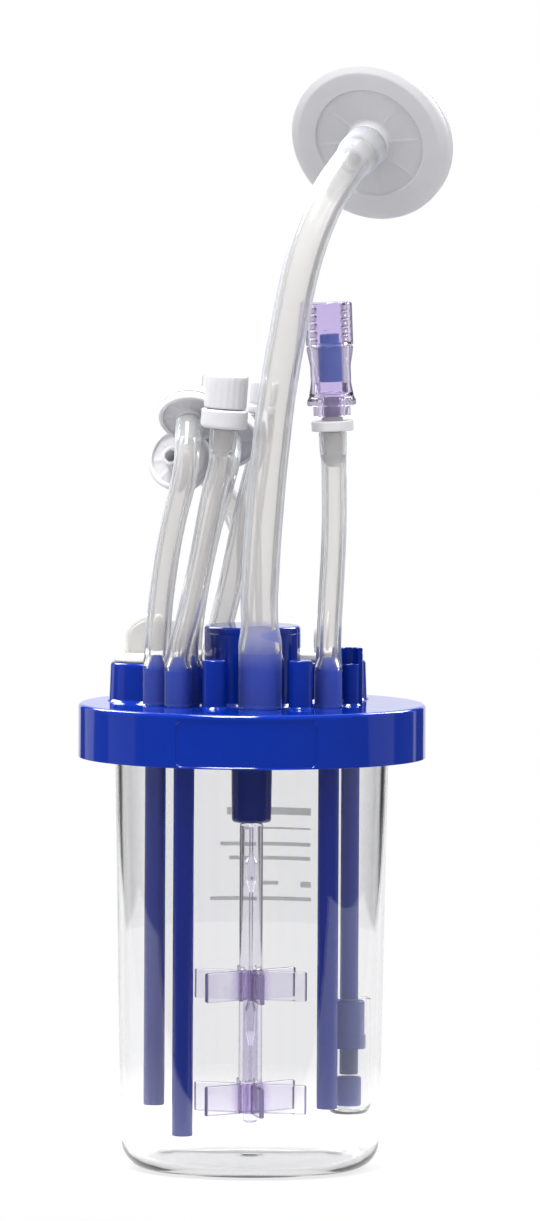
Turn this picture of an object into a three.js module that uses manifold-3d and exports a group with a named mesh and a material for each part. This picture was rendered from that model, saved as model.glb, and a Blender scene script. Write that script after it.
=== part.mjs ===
// Single-use bench bioreactor: a clear stirred jar under a moulded lid that carries hoses,
// filters, a sampling valve, dip tubes and the stirrer. Millimetres, +Z up, origin at the
// middle of the jar's foot, -Y is the front.
import * as THREE from 'three';
import { mergeVertices } from 'three/addons/utils/BufferGeometryUtils.js';
import Module from 'manifold-3d';

// ---------------------------------------------------------------- general clearances
const seatGap = 0.3;
const cutOverrun = 1;

// ---------------------------------------------------------------- vessel
const jarDraft = 1.8;
const jarWall = 1.5;
const jarFloor = 3.2;
const jarCornerRadius = 5.6;
const jarFootRecess = 0.6;
const jarFootRingInset = 0.65;
const jarPipRadius = 3;
const jarPipHeight = 0.8;
const jarFlangeWidth = 5.95;
const jarFlangeClearance = 0.7;
const jarFlangeThickness = 3.6;

// ---------------------------------------------------------------- lid
const lidRadius = 44;
const lidTop = 118;
const lidPlate = 4.2;
const lidSkirtDrop = 13.6;
const lidSkirtWall = 2.7;
const lidEdgeRadius = 1.4;
const lidSnapDepth = 1.1;
const lidSnapHeight = 1;
const lidRingWall = 1.3;
const lidRingDrop = 4.6;
const sealThickness = 1;
const sealWidth = 3;
const panelWidth = 35.4;
const panelHeight = 11.5;
const panelCorner = 1.6;
const panelDepth = 0.4;
const panelOffset = -1.4;

// ---------------------------------------------------------------- drive hub, bearings
const hubRadius = 12.2;
const hubWall = 1.6;
const hubHeight = 19.8;
const hubFloorRise = 1.2;
const hubCapThickness = 1.8;
const hubCapRounding = 1.2;
const hubCapSpigot = 1.5;
const housingTopRadius = 5.35;
const housingEndRadius = 5;
const housingDrop = 30.2;
const housingBore = 3.9;
const housingLip = 1.7;
const housingLipBore = 3.3;
const housingEndRounding = 0.9;
const bearingLength = 5;
const bearingFlangeRadius = 5.6;
const bearingFlange = 1;
const lipSealLength = 2.2;

// ---------------------------------------------------------------- stirrer
const journalRadius = 2;
const shaftRadius = 2.95;
const stubRadius = 1.7;
const stubEnd = 11.4;
const lowerImpellerFoot = 13.85;
const upperImpellerFoot = 42.65;
const impellerRadius = 14.9;
const impellerHubRadius = 3.4;
const bladeHeight = 7.5;
const bladeThickness = 1.2;
const bladeCount = 6;
const bladeTurn = 11.5;
const carrierRadius = 8;
const carrierHeight = 11.5;
const carrierOverShaft = 3.6;
const magnetCount = 4;
const magnetRadius = 1.9;
const magnetLength = 7;

// ---------------------------------------------------------------- ports on the lid
const bossRadius = 11.05;
const bossDraft = 0.35;
const bossHeight = 10;
const bossBore = 8.5;
const bossHole = 7;
const bossSeatRise = 1.5;
const leftBossAt = [-24.9, 7];
const rightBossAt = [17.8, 17.5];
const postRadius = 3.05;
const postHeight = 12.3;
const postAt = [[-9.5, -20], [12.2, -20]];
const sensorPlace = { ringInset: 5.911, angle: -11.84 };
const sensorPortRadius = 2.45;
const sensorPortHeight = 10.5;
const sensorGuardRadius = 3.1;
const sensorGuardHeight = 14.5;
const sensorBore = 1.6;
const outerBarbPlace = {
  feed1: { ringInset: 5.662, angle: -160.36 },
  feed2: { ringInset: 6.974, angle: -140.01 },
  sample: { ringInset: 7.488, angle: -36.1 },
};
const innerBarbAt = {
  feed3: [-16, -8],
  feed4: [-9.5, 14.5],
  feed5: [1.5, 18],
};
const largeBarbAt = [2, -19.3];

// ---------------------------------------------------------------- port plugs
const plugFlangeRadius = 10.5;
const plugFlangeThickness = 1.9;
const plugStemLength = 8;
const plugStemWall = 1.4;
const plugTabWidth = 15.9;
const plugTabHeight = 10.5;
const plugTabThickness = 2.8;
const plugTabRim = 1.3;
const plugTabRecess = 0.6;
const leftTabTurn = 0;
const rightTabTurn = 82;

// ---------------------------------------------------------------- barbs and hoses
const smallBarb = { shank: 2.3, ridge: 2.45, tip: 1.4, bore: 0.9 };
const largeBarb = { shank: 3.8, ridge: 4, tip: 2.65, bore: 1.9 };
const lidSmallBarbLength = 14.5;
const lidLargeBarbLength = 20.6;
const fittingBarbLength = 7;
const barbRidgeShare = 0.72;
const smallHoseRadius = 3.3;
const largeHoseRadius = 4.85;
const smallHoseSides = 8;
const largeHoseSides = 12;
const smallHoseSteps = 7;
const largeHoseSteps = 11;

// Each hose's route, from the foot on its barb to the fitting at its far end.
const ventHoseRoute = [
  [2, -19.3, 118.3], [2, -19.3, 125], [2, -19.3, 131.5], [1.9, -19.4, 138], [1.7, -19.6, 145],
  [2, -19.8, 152], [2.4, -20, 160], [3, -20.3, 168], [3.6, -20.6, 176], [4.5, -20.9, 185],
  [5.6, -21.3, 195], [7.1, -21.8, 205], [8.9, -22.1, 215], [10.4, -22, 223], [12.2, -21, 230.6],
  [15.1, -17.8, 239.4], [18.9, -11.8, 247.4], [24.05, -4.54, 254.67], [26.09, 0.68, 256.81],
  [28.13, 5.91, 258.94],
];
const sampleHoseRoute = [
  [19.2, -14, 118.3], [19.2, -14, 124], [19.2, -14, 129.5], [19.25, -14, 134.5], [19.4, -14, 139.5],
  [19.65, -14, 144.5], [19.9, -14, 149.5], [20.15, -14, 154.5], [20.35, -14, 159.5],
  [20.45, -14, 164.5], [20.45, -14, 169.5], [20.4, -14, 174], [20.3, -14, 178.5],
  [20.12, -14, 183], [19.94, -14, 187.5],
];
const feedHose1Route = [
  [-24.1, -8.6, 118.3], [-24.1, -8.6, 124], [-24.1, -8.6, 129.5], [-23.9, -8.8, 135],
  [-23.5, -9.2, 140.5], [-23, -9.9, 146], [-22.3, -10.9, 151.5], [-21.5, -12.1, 157],
  [-20.5, -13.5, 162.5], [-19.3, -15.2, 168], [-17.9, -17, 173.4], [-16.9, -17.7, 178.8],
  [-16.6, -15.7, 183.55], [-16.33, -12.46, 186.39], [-16.07, -9.17, 189.29],
];
const feedHose2Route = [
  [-18.6, -15.6, 118.3], [-18.6, -15.6, 124], [-18.6, -15.6, 129.5], [-17.6, -15.7, 135],
  [-16.1, -15.9, 140.5], [-14.8, -16.1, 146], [-13.7, -16.4, 151.5], [-12.6, -16.7, 157],
  [-11.6, -17, 162.5], [-10.6, -17.3, 168], [-9.6, -17.6, 173], [-8.6, -17.8, 177.2],
  [-8, -17.9, 180.6], [-7.75, -17.95, 184.4], [-7.5, -18, 188.2],
];
const feedHose3Route = [
  [-16, -8, 118.3], [-16, -8, 124], [-16, -8, 129.5], [-15.8, -7.9, 135], [-15.2, -7.6, 141],
  [-14.3, -7.3, 147], [-13.2, -7, 153], [-12, -6.8, 158.6], [-10.8, -6.7, 163.6],
  [-9.5, -6.6, 168.2], [-8.3, -6.3, 172.4], [-7.3, -4.9, 176], [-6.6, -2.2, 179],
  [-6.6, 1.58, 181.04], [-6.6, 5.45, 183.13],
];
const feedHose4Route = [
  [-9.5, 14.5, 118.3], [-9.5, 14.5, 124], [-9.5, 14.5, 129.5], [-8.6, 14.3, 134.6],
  [-7.4, 14, 139.6], [-6.1, 13.7, 145], [-4.9, 13.5, 150.5], [-3.8, 13.5, 156],
  [-2.7, 13.7, 161.5], [-1.5, 14.6, 167], [-0.2, 16, 172.4], [1, 17.1, 177.4],
  [1.8, 17.5, 181.6], [2.1, 17.6, 185.8], [2.4, 17.7, 190],
];
const feedHose5Route = [
  [1.5, 18, 118.3], [1.5, 18, 124], [1.5, 18, 129.5], [1.4, 18.4, 135], [1.1, 19, 141],
  [0.4, 19.7, 147], [-0.6, 20.3, 152.6], [-2, 20.7, 158], [-3.8, 20.8, 163], [-5.9, 20.3, 167.4],
  [-8.3, 19, 171], [-10.9, 17, 174.2], [-13.33, 14.2, 176.65], [-15.13, 10.42, 177.6],
  [-16.98, 6.55, 178.56],
];

// ---------------------------------------------------------------- dip tubes and sensor cup
const dipTubeRadius = 2.58;
const dipTubeBore = 1.5;
const dipSocketDepth = 2;
const inletTubeFoot = 16.7;
const sampleTubePlace = { ringInset: 8.52, angle: -138.03 };
const sampleTubeFoot = 9.5;
const harvestTubeFoot = 16.4;
const sensorTubeRadius = 2.3;
const sensorTubeFoot = 24.4;
const cupRadius = 5.35;
const cupWall = 0.9;
const cupFoot = 14.3;
const cupHeight = 29.5;
const cupFloor = 1.5;
const cupRounding = 2.2;
const cupCollarFoot = 31;
const cupCollarHeight = 12;
const insertRadius = 3.1;
const insertHeight = 7.7;

// ---------------------------------------------------------------- disc filters
const filterRadius = 8;
const filterHalf = 2.4;
const filterHubRadius = 3.6;
const filterHubRise = 0.9;
const filterFaceRecess = 0.7;
const filterRimWidth = 1.2;
const filterChamberRadius = 6.4;
const filterChamberDepth = 0.6;
const luerRadius = 2.45;
const luerBore = 1.5;
const filterInletLength = { a: 13.6, b: 6, c: 7.6 };

const ventRadius = 21.25;
const ventHalf = 2.7;
const ventRimRise = 1.1;
const ventRecessRadius = 14.2;
const ventRecess = 0.8;
const ventHubRadius = 5.6;
const ventHubRise = 1.6;
const ventChamberRadius = 17.5;
const ventChamberDepth = 1.1;
const ventBarbLength = 10;
const ventBackPortRadius = 3.4;
const ventBackPortLength = 9;
const ventRibCount = 8;
const ventRibWidth = 0.7;
const ventRibHeight = 0.45;
const membraneRadius = 16.8;
const membraneThickness = 0.4;

// ---------------------------------------------------------------- capped adapters
const mainAdapter = { flange: 5.9, thickness: 4.8, stub: 2.1, stubLength: 4.6 };
const mainCap = { radius: 5.35, wall: 1, height: 8.6 };
const sideAdapter = { flange: 3.9, thickness: 2.4, stub: 1.9, stubLength: 3.2 };
const sideCap = { radius: 3.75, wall: 0.9, height: 6 };

// ---------------------------------------------------------------- sampling valve
const adapterFlangeRadius = 5.3;
const adapterFlange = 2.6;
const adapterNeckRadius = 2.65;
const adapterNeck = 1.5;
const adapterLuerRadius = 2;
const adapterLuer = 4;
const valveStubRadius = 4.65;
const valveStub = 2.8;
const valveSkirtRadius = 6.15;
const valveSkirt = 3.4;
const valveWaistRadius = 5.1;
const valveTopRadius = 5.85;
const valveBody = 10.6;
const valveTopLip = 0.8;
const valveChamberRadius = 3.4;
const valveChamberFloor = 5.4;
const pistonRadius = 2.95;
const pistonTravel = 3;
const pistonHeight = 12.4;
const collarRadius = 5.95;
const collarBore = 3.9;
const collarHeight = 10.7;
const collarThreadDepth = 0.35;
const collarThreads = 3;

// ---------------------------------------------------------------- colours
function plastic(color, roughness, opacity = 1) {
  const transparent = opacity < 1;
  return new THREE.MeshStandardMaterial({ color, roughness, metalness: 0, opacity, transparent });
}
const clearJar = plastic(0xe9ecef, 0.05, 0.3);
const blueLid = plastic(0x14288c, 0.2);
const blueTube = plastic(0x26308a, 0.45);
const whitePlug = plastic(0xe4e2de, 0.4);
const whiteFilter = plastic(0xdddbdc, 0.4);
const membraneWhite = plastic(0xf2f2f0, 0.8);
const clearHose = plastic(0xd6d8dc, 0.2, 0.6);
const lavender = plastic(0xc9b8e2, 0.1, 0.6);
const valveBlue = plastic(0x3f5fc4, 0.4);
const sealGrey = plastic(0xbfc1c4, 0.7);
const bearingWhite = plastic(0xe8e8e4, 0.5);
const clearCup = plastic(0xdfe2ea, 0.1, 0.4);
const magnetSteel = new THREE.MeshStandardMaterial({ color: 0xb9bcc0, roughness: 0.3, metalness: 1 });

// ---------------------------------------------------------------- shape helpers
const wasm = await Module();
wasm.setup();

// Points of an arc in a radius and height outline, angles in degrees from the radius axis.
function arc(radius, height, size, from, to, steps = 3) {
  const points = [];
  for (let i = 0; i <= steps; i += 1) {
    const angle = THREE.MathUtils.degToRad(from + ((to - from) * i) / steps);
    points.push([radius + size * Math.cos(angle), height + size * Math.sin(angle)]);
  }
  return points;
}

// Revolves an outline of [radius, height] points about +Z. The outline runs with the
// material on its left, and closes on itself unless it starts and ends on the axis.
function turned(outline, segments = 24) {
  const points = outline.map(([radius, height]) => new THREE.Vector2(Math.max(radius, 0), height));
  const onAxis = points[0].x === 0 && points[points.length - 1].x === 0;
  if (!onAxis) points.push(points[0].clone());
  if (THREE.ShapeUtils.area(points) < 0) points.reverse();
  return new THREE.LatheGeometry(points, segments).rotateX(Math.PI / 2);
}

function tube(outer, bore, foot, top, segments = 24) {
  return turned([[bore, foot], [outer, foot], [outer, top], [bore, top]], segments);
}

function disc(radius, foot, top, segments = 24) {
  return turned([[0, foot], [radius, foot], [radius, top], [0, top]], segments);
}

function slab(shape, foot, top, curveSegments = 6) {
  const settings = { depth: top - foot, bevelEnabled: false, curveSegments };
  return new THREE.ExtrudeGeometry(shape, settings).translate(0, 0, foot);
}

// One closed body with shared corners and no collapsed triangles.
function welded(geometry) {
  const bare = geometry.clone();
  bare.deleteAttribute('normal');
  bare.deleteAttribute('uv');
  const merged = mergeVertices(bare, 1e-4);
  const kept = [];
  const index = merged.index.array;
  for (let i = 0; i < index.length; i += 3) {
    const [a, b, c] = [index[i], index[i + 1], index[i + 2]];
    if (a !== b && b !== c && c !== a) kept.push(a, b, c);
  }
  merged.setIndex(kept);
  return merged;
}

function solid(geometry) {
  const closed = welded(geometry);
  const vertProperties = Float32Array.from(closed.attributes.position.array);
  const triVerts = Uint32Array.from(closed.index.array);
  return new wasm.Manifold(new wasm.Mesh({ numProp: 3, vertProperties, triVerts }));
}

function geometryOf(body) {
  const mesh = body.getMesh();
  const geometry = new THREE.BufferGeometry();
  geometry.setAttribute('position', new THREE.BufferAttribute(mesh.vertProperties, 3));
  geometry.setIndex(new THREE.BufferAttribute(mesh.triVerts, 1));
  return geometry;
}

function joined(...geometries) {
  return geometries.map(solid).reduce((all, next) => all.add(next));
}

function cutFrom(body, ...geometries) {
  return geometries.map(solid).reduce((all, next) => all.subtract(next), body);
}

// Outline of a hose barb that rises from height 0, with its bore left to the caller.
function barbSide(barb, length) {
  const ridgeAt = length * barbRidgeShare;
  return [
    [barb.shank, 0],
    [barb.shank, ridgeAt - 0.9],
    [barb.ridge, ridgeAt],
    [barb.tip, length],
  ];
}

// Bore of a hose that slides over a barb, on the flats of its many-sided section.
function hoseBore(barb, sides) {
  return (barb.ridge + seatGap) / Math.cos(Math.PI / sides);
}

function polar(radius, angle) {
  return new THREE.Vector2(radius * Math.cos(angle), radius * Math.sin(angle));
}

function ringShape(outer, bore, sides) {
  const angles = [...Array(sides).keys()].map((i) => (2 * Math.PI * i) / sides);
  const shape = new THREE.Shape(angles.map((angle) => polar(outer, angle)));
  shape.holes.push(new THREE.Path(angles.map((angle) => polar(bore, angle)).reverse()));
  return shape;
}

function routeCurve(route) {
  return new THREE.CatmullRomCurve3(route.map((point) => new THREE.Vector3(...point)));
}

function hose(route, outer, barb, sides, steps) {
  const section = ringShape(outer, hoseBore(barb, sides), sides);
  const settings = { steps, bevelEnabled: false, extrudePath: routeCurve(route) };
  return new THREE.ExtrudeGeometry(section, settings);
}

// ---------------------------------------------------------------- object assembly helpers
const bioreactor = new THREE.Group();

function place(parent, name, geometry, material) {
  const mesh = new THREE.Mesh(welded(geometry), material);
  mesh.name = name;
  parent.add(mesh);
}

// A group whose origin is the far end of a hose and whose +Z carries on along the hose.
function onHoseEnd(route) {
  const end = new THREE.Vector3(...route[route.length - 1]);
  const before = new THREE.Vector3(...route[route.length - 2]);
  const along = end.clone().sub(before).normalize();
  const seat = new THREE.Group();
  seat.position.copy(end);
  seat.quaternion.setFromUnitVectors(new THREE.Vector3(0, 0, 1), along);
  bioreactor.add(seat);
  return seat;
}

// ---------------------------------------------------------------- vessel
const lidUnderside = lidTop - lidPlate;
const jarFlangeRadius = lidRadius - lidSkirtWall - jarFlangeClearance;
const jarMouthRadius = jarFlangeRadius - jarFlangeWidth;
const jarFootRadius = jarMouthRadius - jarDraft;
const jarFootRingRadius = jarFootRadius - jarCornerRadius - jarFootRingInset;
const jarTop = lidUnderside - sealThickness - 2 * seatGap;
const jarFlangeFoot = jarTop - jarFlangeThickness;

function vesselGeometry() {
  const cornerInner = jarCornerRadius - jarWall;
  const footInner = jarFootRadius - jarWall;
  return turned([
    [0, jarFootRecess],
    [jarFootRingRadius - 1.2, jarFootRecess],
    [jarFootRingRadius, 0],
    ...arc(jarFootRadius - jarCornerRadius, jarCornerRadius, jarCornerRadius, -90, 0, 3),
    [jarMouthRadius, jarFlangeFoot - 1.2],
    [jarMouthRadius + 1.2, jarFlangeFoot],
    [jarFlangeRadius, jarFlangeFoot],
    [jarFlangeRadius, jarTop],
    [jarMouthRadius - jarWall, jarTop],
    ...arc(footInner - cornerInner, jarFloor + cornerInner, cornerInner, 0, -90, 3),
    [jarPipRadius, jarFloor],
    [0, jarFloor + jarPipHeight],
  ], 40);
}

function sealGeometry() {
  const inner = jarMouthRadius;
  return tube(inner + sealWidth, inner, jarTop + seatGap, jarTop + seatGap + sealThickness, 24);
}

// ---------------------------------------------------------------- lid
const skirtFoot = lidTop - lidSkirtDrop;
const skirtInner = lidRadius - lidSkirtWall;
const snapTop = jarFlangeFoot - seatGap;
const ringOuter = jarMouthRadius - jarWall - 2 * seatGap;
const ringInner = ringOuter - lidRingWall;
const hubTop = lidTop + hubHeight;
const hubCapFoot = hubTop - hubCapThickness;
const hubBore = hubRadius - hubWall;
const hubFloor = lidTop + hubFloorRise;
const housingFoot = lidTop - housingDrop;
const lipTop = housingFoot + housingLip;

// Places near the lid's edge keep their distance from its inner ring.
function insideRing({ ringInset, angle }) {
  return polar(ringInner - ringInset, THREE.MathUtils.degToRad(angle)).toArray();
}

const sensorAt = insideRing(sensorPlace);
const sampleTubeAt = insideRing(sampleTubePlace);
const smallBarbAt = {
  feed1: insideRing(outerBarbPlace.feed1),
  feed2: insideRing(outerBarbPlace.feed2),
  ...innerBarbAt,
  sample: insideRing(outerBarbPlace.sample),
};

function lidBlank() {
  const snapInner = skirtInner - lidSnapDepth;
  return turned([
    [housingLipBore, housingFoot],
    [housingEndRadius - housingEndRounding, housingFoot],
    [housingEndRadius, housingFoot + housingEndRounding],
    [housingTopRadius, lidUnderside],
    [ringInner, lidUnderside],
    [ringInner, lidUnderside - lidRingDrop],
    [ringOuter, lidUnderside - lidRingDrop],
    [ringOuter, lidUnderside],
    [skirtInner, lidUnderside],
    [skirtInner, snapTop],
    [snapInner, snapTop],
    [snapInner, snapTop - lidSnapHeight],
    [skirtInner, snapTop - lidSnapHeight - lidSnapDepth],
    [skirtInner, skirtFoot],
    [lidRadius, skirtFoot],
    ...arc(lidRadius - lidEdgeRadius, lidTop - lidEdgeRadius, lidEdgeRadius, 0, 90, 2),
    [hubRadius, lidTop],
    [hubRadius, hubCapFoot - seatGap],
    [hubBore, hubCapFoot - seatGap],
    [hubBore, hubFloor],
    [housingBore, hubFloor],
    [housingBore, lipTop],
    [housingLipBore, lipTop],
  ], 40);
}

// The cap that closes the drive hub, with a spigot that centres it in the hub's bore.
function hubCapGeometry() {
  const spigot = hubBore - seatGap;
  return turned([
    [0, hubCapFoot - hubCapSpigot],
    [spigot, hubCapFoot - hubCapSpigot],
    [spigot, hubCapFoot],
    [hubRadius, hubCapFoot],
    ...arc(hubRadius - hubCapRounding, hubTop - hubCapRounding, hubCapRounding, 0, 90, 2),
    [0, hubTop],
  ], 40);
}

// A barb on the lid, sunk a little into the plate so that it joins it.
function lidBarb([x, y], barb, length, segments) {
  const outline = [[0, -cutOverrun], [barb.shank, -cutOverrun], ...barbSide(barb, length), [0, length]];
  return turned(outline, segments).translate(x, y, lidTop);
}

function lidBore([x, y], radius, top, segments = 8) {
  return disc(radius, lidUnderside - cutOverrun, top, segments).translate(x, y, 0);
}

// A boss's wide bore for a plug's stem, and the narrower hole under it through the plate.
function bossBores(at) {
  const top = lidTop + bossHeight + cutOverrun;
  const seat = lidTop + bossSeatRise;
  const wide = disc(bossBore, seat, top, 20).translate(...at, 0);
  return [wide, lidBore(at, bossHole, top, 20)];
}

function roundedPost([x, y], radius, height) {
  const outline = [
    [0, -cutOverrun],
    [radius, -cutOverrun],
    [radius, height - 0.4],
    [radius - 0.4, height],
    [0, height],
  ];
  return turned(outline, 14).translate(x, y, lidTop);
}

// The sensor port: a short round port, with a taller half-round guard behind it.
function sensorPort() {
  const [x, y] = sensorAt;
  const port = disc(sensorPortRadius, -cutOverrun, sensorPortHeight, 14);
  const guard = tube(sensorGuardRadius, sensorPortRadius - 0.5, -cutOverrun, sensorGuardHeight, 14);
  const size = 2 * sensorGuardRadius;
  const front = new THREE.BoxGeometry(2 * size, size, 4 * sensorGuardHeight);
  front.translate(0, -size / 2 - 0.4, 0);
  const half = cutFrom(solid(guard), front);
  return solid(port).add(half).translate([x, y, lidTop]);
}

function panelCutter() {
  const [w, h, r] = [panelWidth / 2, panelHeight / 2, panelCorner];
  const shape = new THREE.Shape();
  shape.moveTo(-w + r, -h);
  shape.absarc(w - r, -h + r, r, -Math.PI / 2, 0);
  shape.absarc(w - r, h - r, r, 0, Math.PI / 2);
  shape.absarc(-w + r, h - r, r, Math.PI / 2, Math.PI);
  shape.absarc(-w + r, -h + r, r, Math.PI, 1.5 * Math.PI);
  const middle = (skirtFoot + lidTop - lidEdgeRadius) / 2;
  const through = slab(shape, 0, 2 * lidRadius, 3).rotateX(Math.PI / 2).translate(panelOffset, 0, middle);
  const core = disc(lidRadius - panelDepth, skirtFoot - cutOverrun, lidTop + cutOverrun, 40);
  return geometryOf(cutFrom(solid(through), core));
}

function headPlateGeometry() {
  let body = joined(
    lidBlank(),
    ...[leftBossAt, rightBossAt].map((at) => roundedBoss(at)),
    ...postAt.map((at) => roundedPost(at, postRadius, postHeight)),
    ...Object.values(smallBarbAt).map((at) => lidBarb(at, smallBarb, lidSmallBarbLength, 10)),
    lidBarb(largeBarbAt, largeBarb, lidLargeBarbLength, 12),
  ).add(sensorPort());
  const dipSockets = [smallBarbAt.feed1, sampleTubeAt, smallBarbAt.sample];
  const smallBarbTop = lidTop + lidSmallBarbLength + cutOverrun;
  body = cutFrom(
    body,
    ...[leftBossAt, rightBossAt].flatMap(bossBores),
    ...Object.values(smallBarbAt).map((at) => lidBore(at, smallBarb.bore, smallBarbTop)),
    lidBore(largeBarbAt, largeBarb.bore, lidTop + lidLargeBarbLength + cutOverrun),
    lidBore(sensorAt, sensorBore, lidTop + sensorGuardHeight + cutOverrun),
    ...dipSockets.map((at) => lidBore(at, dipTubeRadius + seatGap, lidUnderside + dipSocketDepth, 12)),
    lidBore(sensorAt, sensorTubeRadius + seatGap, lidUnderside + dipSocketDepth, 12),
    panelCutter(),
  );
  return geometryOf(body);
}

function roundedBoss([x, y]) {
  const outline = [
    [0, -cutOverrun],
    [bossRadius + bossDraft, -cutOverrun],
    ...arc(bossRadius - 0.8, bossHeight - 0.8, 0.8, 0, 90, 2),
    [0, bossHeight],
  ];
  return turned(outline, 24).translate(x, y, lidTop);
}

// ---------------------------------------------------------------- port plugs
function plugGeometry(turn) {
  const stem = bossBore - seatGap;
  const stemFoot = -plugStemLength;
  const body = turned([
    [stem - plugStemWall, stemFoot],
    [stem - 0.4, stemFoot],
    [stem, stemFoot + 0.6],
    [stem, 0],
    [plugFlangeRadius - 0.4, 0],
    [plugFlangeRadius, 0.5],
    [plugFlangeRadius - 0.5, plugFlangeThickness],
    [0, plugFlangeThickness],
    [0, -0.2],
    [stem - plugStemWall, -0.2],
  ], 20);
  const tab = tabSlab(plugTabWidth / 2, plugTabHeight, plugTabThickness);
  const rim = plugTabRim;
  const window = tabSlab(plugTabWidth / 2 - rim, plugTabHeight - rim, plugTabThickness);
  const shift = plugTabThickness - plugTabRecess;
  const face = [window.clone().translate(0, -shift, rim), window.clone().translate(0, shift, rim)];
  const raisedTab = cutFrom(solid(tab), ...face);
  const grip = raisedTab.translate([0, 0, plugFlangeThickness - 0.4]).rotate([0, 0, turn]);
  return geometryOf(solid(body).add(grip));
}

// A half-moon tab that stands on its straight side, in the XZ plane.
function tabSlab(halfWidth, height, thickness) {
  const side = height - halfWidth * 0.72;
  const shape = new THREE.Shape();
  shape.moveTo(-halfWidth, 0);
  shape.lineTo(halfWidth, 0);
  shape.lineTo(halfWidth, side);
  shape.absellipse(0, side, halfWidth, height - side, 0, Math.PI);
  shape.lineTo(-halfWidth, 0);
  return slab(shape, -thickness / 2, thickness / 2, 8).rotateX(Math.PI / 2);
}

// ---------------------------------------------------------------- stirrer
const upperImpellerTop = upperImpellerFoot + bladeHeight;
const lowerImpellerTop = lowerImpellerFoot + bladeHeight;
const bearingBore = journalRadius + seatGap;
const bearingOuter = housingBore - seatGap;
const upperFlangeFoot = hubFloor + seatGap;
const carrierFoot = upperFlangeFoot + bearingFlange + seatGap;
const carrierTop = carrierFoot + carrierHeight;
const shaftTop = carrierTop - carrierOverShaft;
const magnetTop = carrierTop - seatGap;
const magnetFoot = magnetTop - magnetLength;
const magnetRing = (bearingBore + carrierRadius) / 2;

function shaftGeometry() {
  const shoulder = upperImpellerTop + seatGap;
  const journalFoot = housingFoot - seatGap;
  return turned([
    [0, stubEnd],
    [stubRadius, stubEnd],
    [stubRadius, shoulder],
    [shaftRadius, shoulder],
    [shaftRadius, journalFoot],
    [journalRadius, journalFoot],
    [journalRadius, shaftTop],
    [0, shaftTop],
  ], 14);
}

function impellerGeometry(foot) {
  const blades = [];
  for (let i = 0; i < bladeCount; i += 1) {
    const inner = stubRadius + seatGap + 0.5;
    const blade = new THREE.BoxGeometry(impellerRadius - inner, bladeThickness, bladeHeight);
    blade.translate((impellerRadius + inner) / 2, 0, foot + bladeHeight / 2);
    blade.rotateZ(THREE.MathUtils.degToRad(bladeTurn - 90 + (360 / bladeCount) * i));
    blades.push(blade);
  }
  const hub = tube(impellerHubRadius, stubRadius + seatGap, foot, foot + bladeHeight, 14);
  return geometryOf(joined(hub, ...blades));
}

function spacerGeometry() {
  const foot = lowerImpellerTop + seatGap;
  return tube(shaftRadius, stubRadius + seatGap, foot, upperImpellerFoot - seatGap, 16);
}

function magnetPlace(index) {
  const [x, y] = polar(magnetRing, (2 * Math.PI * index) / magnetCount).toArray();
  return [x, y, 0];
}

// The round carrier on the shaft's head, with a pocket for each magnet. The motor's own
// magnets turn it through the hub's closed cap.
function carrierGeometry() {
  const blank = solid(disc(carrierRadius, carrierFoot, carrierTop, 24));
  const pockets = [];
  for (let i = 0; i < magnetCount; i += 1) {
    const pocket = disc(magnetRadius + seatGap, magnetFoot - seatGap, carrierTop + cutOverrun, 12);
    pockets.push(pocket.translate(...magnetPlace(i)));
  }
  const bore = disc(bearingBore, carrierFoot - cutOverrun, shaftTop + seatGap, 16);
  return geometryOf(cutFrom(blank, bore, ...pockets));
}

function magnetGeometry(index) {
  return disc(magnetRadius, magnetFoot, magnetTop, 12).translate(...magnetPlace(index));
}

function upperBearingGeometry() {
  const top = upperFlangeFoot + bearingFlange;
  const foot = top - bearingFlange - bearingLength;
  return turned([
    [bearingBore, foot],
    [bearingOuter, foot],
    [bearingOuter, upperFlangeFoot],
    [bearingFlangeRadius, upperFlangeFoot],
    [bearingFlangeRadius, top],
    [bearingBore, top],
  ], 14);
}

function lowerBearingGeometry() {
  const foot = lipTop + seatGap;
  return tube(bearingOuter, bearingBore, foot, foot + bearingLength, 14);
}

function shaftSealGeometry() {
  const foot = lipTop + 2 * seatGap + bearingLength;
  const top = foot + lipSealLength;
  return turned([
    [bearingBore + 0.5, foot],
    [bearingOuter, foot],
    [bearingOuter, top],
    [bearingBore, top],
    [bearingBore, top - 0.6],
  ], 14);
}

// ---------------------------------------------------------------- dip tubes and sensor cup
function dipTubeGeometry([x, y], radius, foot) {
  const top = lidUnderside + dipSocketDepth - seatGap;
  return tube(radius, dipTubeBore, foot, top, 12).translate(x, y, 0);
}

function sensorCupGeometry() {
  const inner = cupRadius - cupWall;
  const roundInner = cupRounding - cupWall;
  return turned([
    [0, cupFoot],
    ...arc(cupRadius - cupRounding, cupFoot + cupRounding, cupRounding, -90, 0, 2),
    [cupRadius, cupFoot + cupHeight],
    [inner, cupFoot + cupHeight],
    ...arc(inner - roundInner, cupFoot + cupFloor + roundInner, roundInner, 0, -90, 2),
    [0, cupFoot + cupFloor],
  ], 18).translate(...sensorAt, 0);
}

function sensorCollarGeometry() {
  const outer = cupRadius - cupWall - seatGap;
  const top = cupCollarFoot + cupCollarHeight;
  const step = cupCollarFoot + 3.4;
  return turned([
    [sensorTubeRadius + seatGap, cupCollarFoot],
    [outer, cupCollarFoot],
    [outer, step],
    [outer - 0.3, step + 0.3],
    [outer - 0.3, top],
    [sensorTubeRadius + seatGap, top],
  ], 14).translate(...sensorAt, 0);
}

function sensorInsertGeometry() {
  const foot = cupFoot + cupFloor + seatGap;
  const top = foot + insertHeight;
  return turned([
    [0, foot],
    [insertRadius, foot],
    [insertRadius, top - 0.5],
    [insertRadius - 0.5, top],
    [0, top],
  ], 14).translate(...sensorAt, 0);
}

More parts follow.
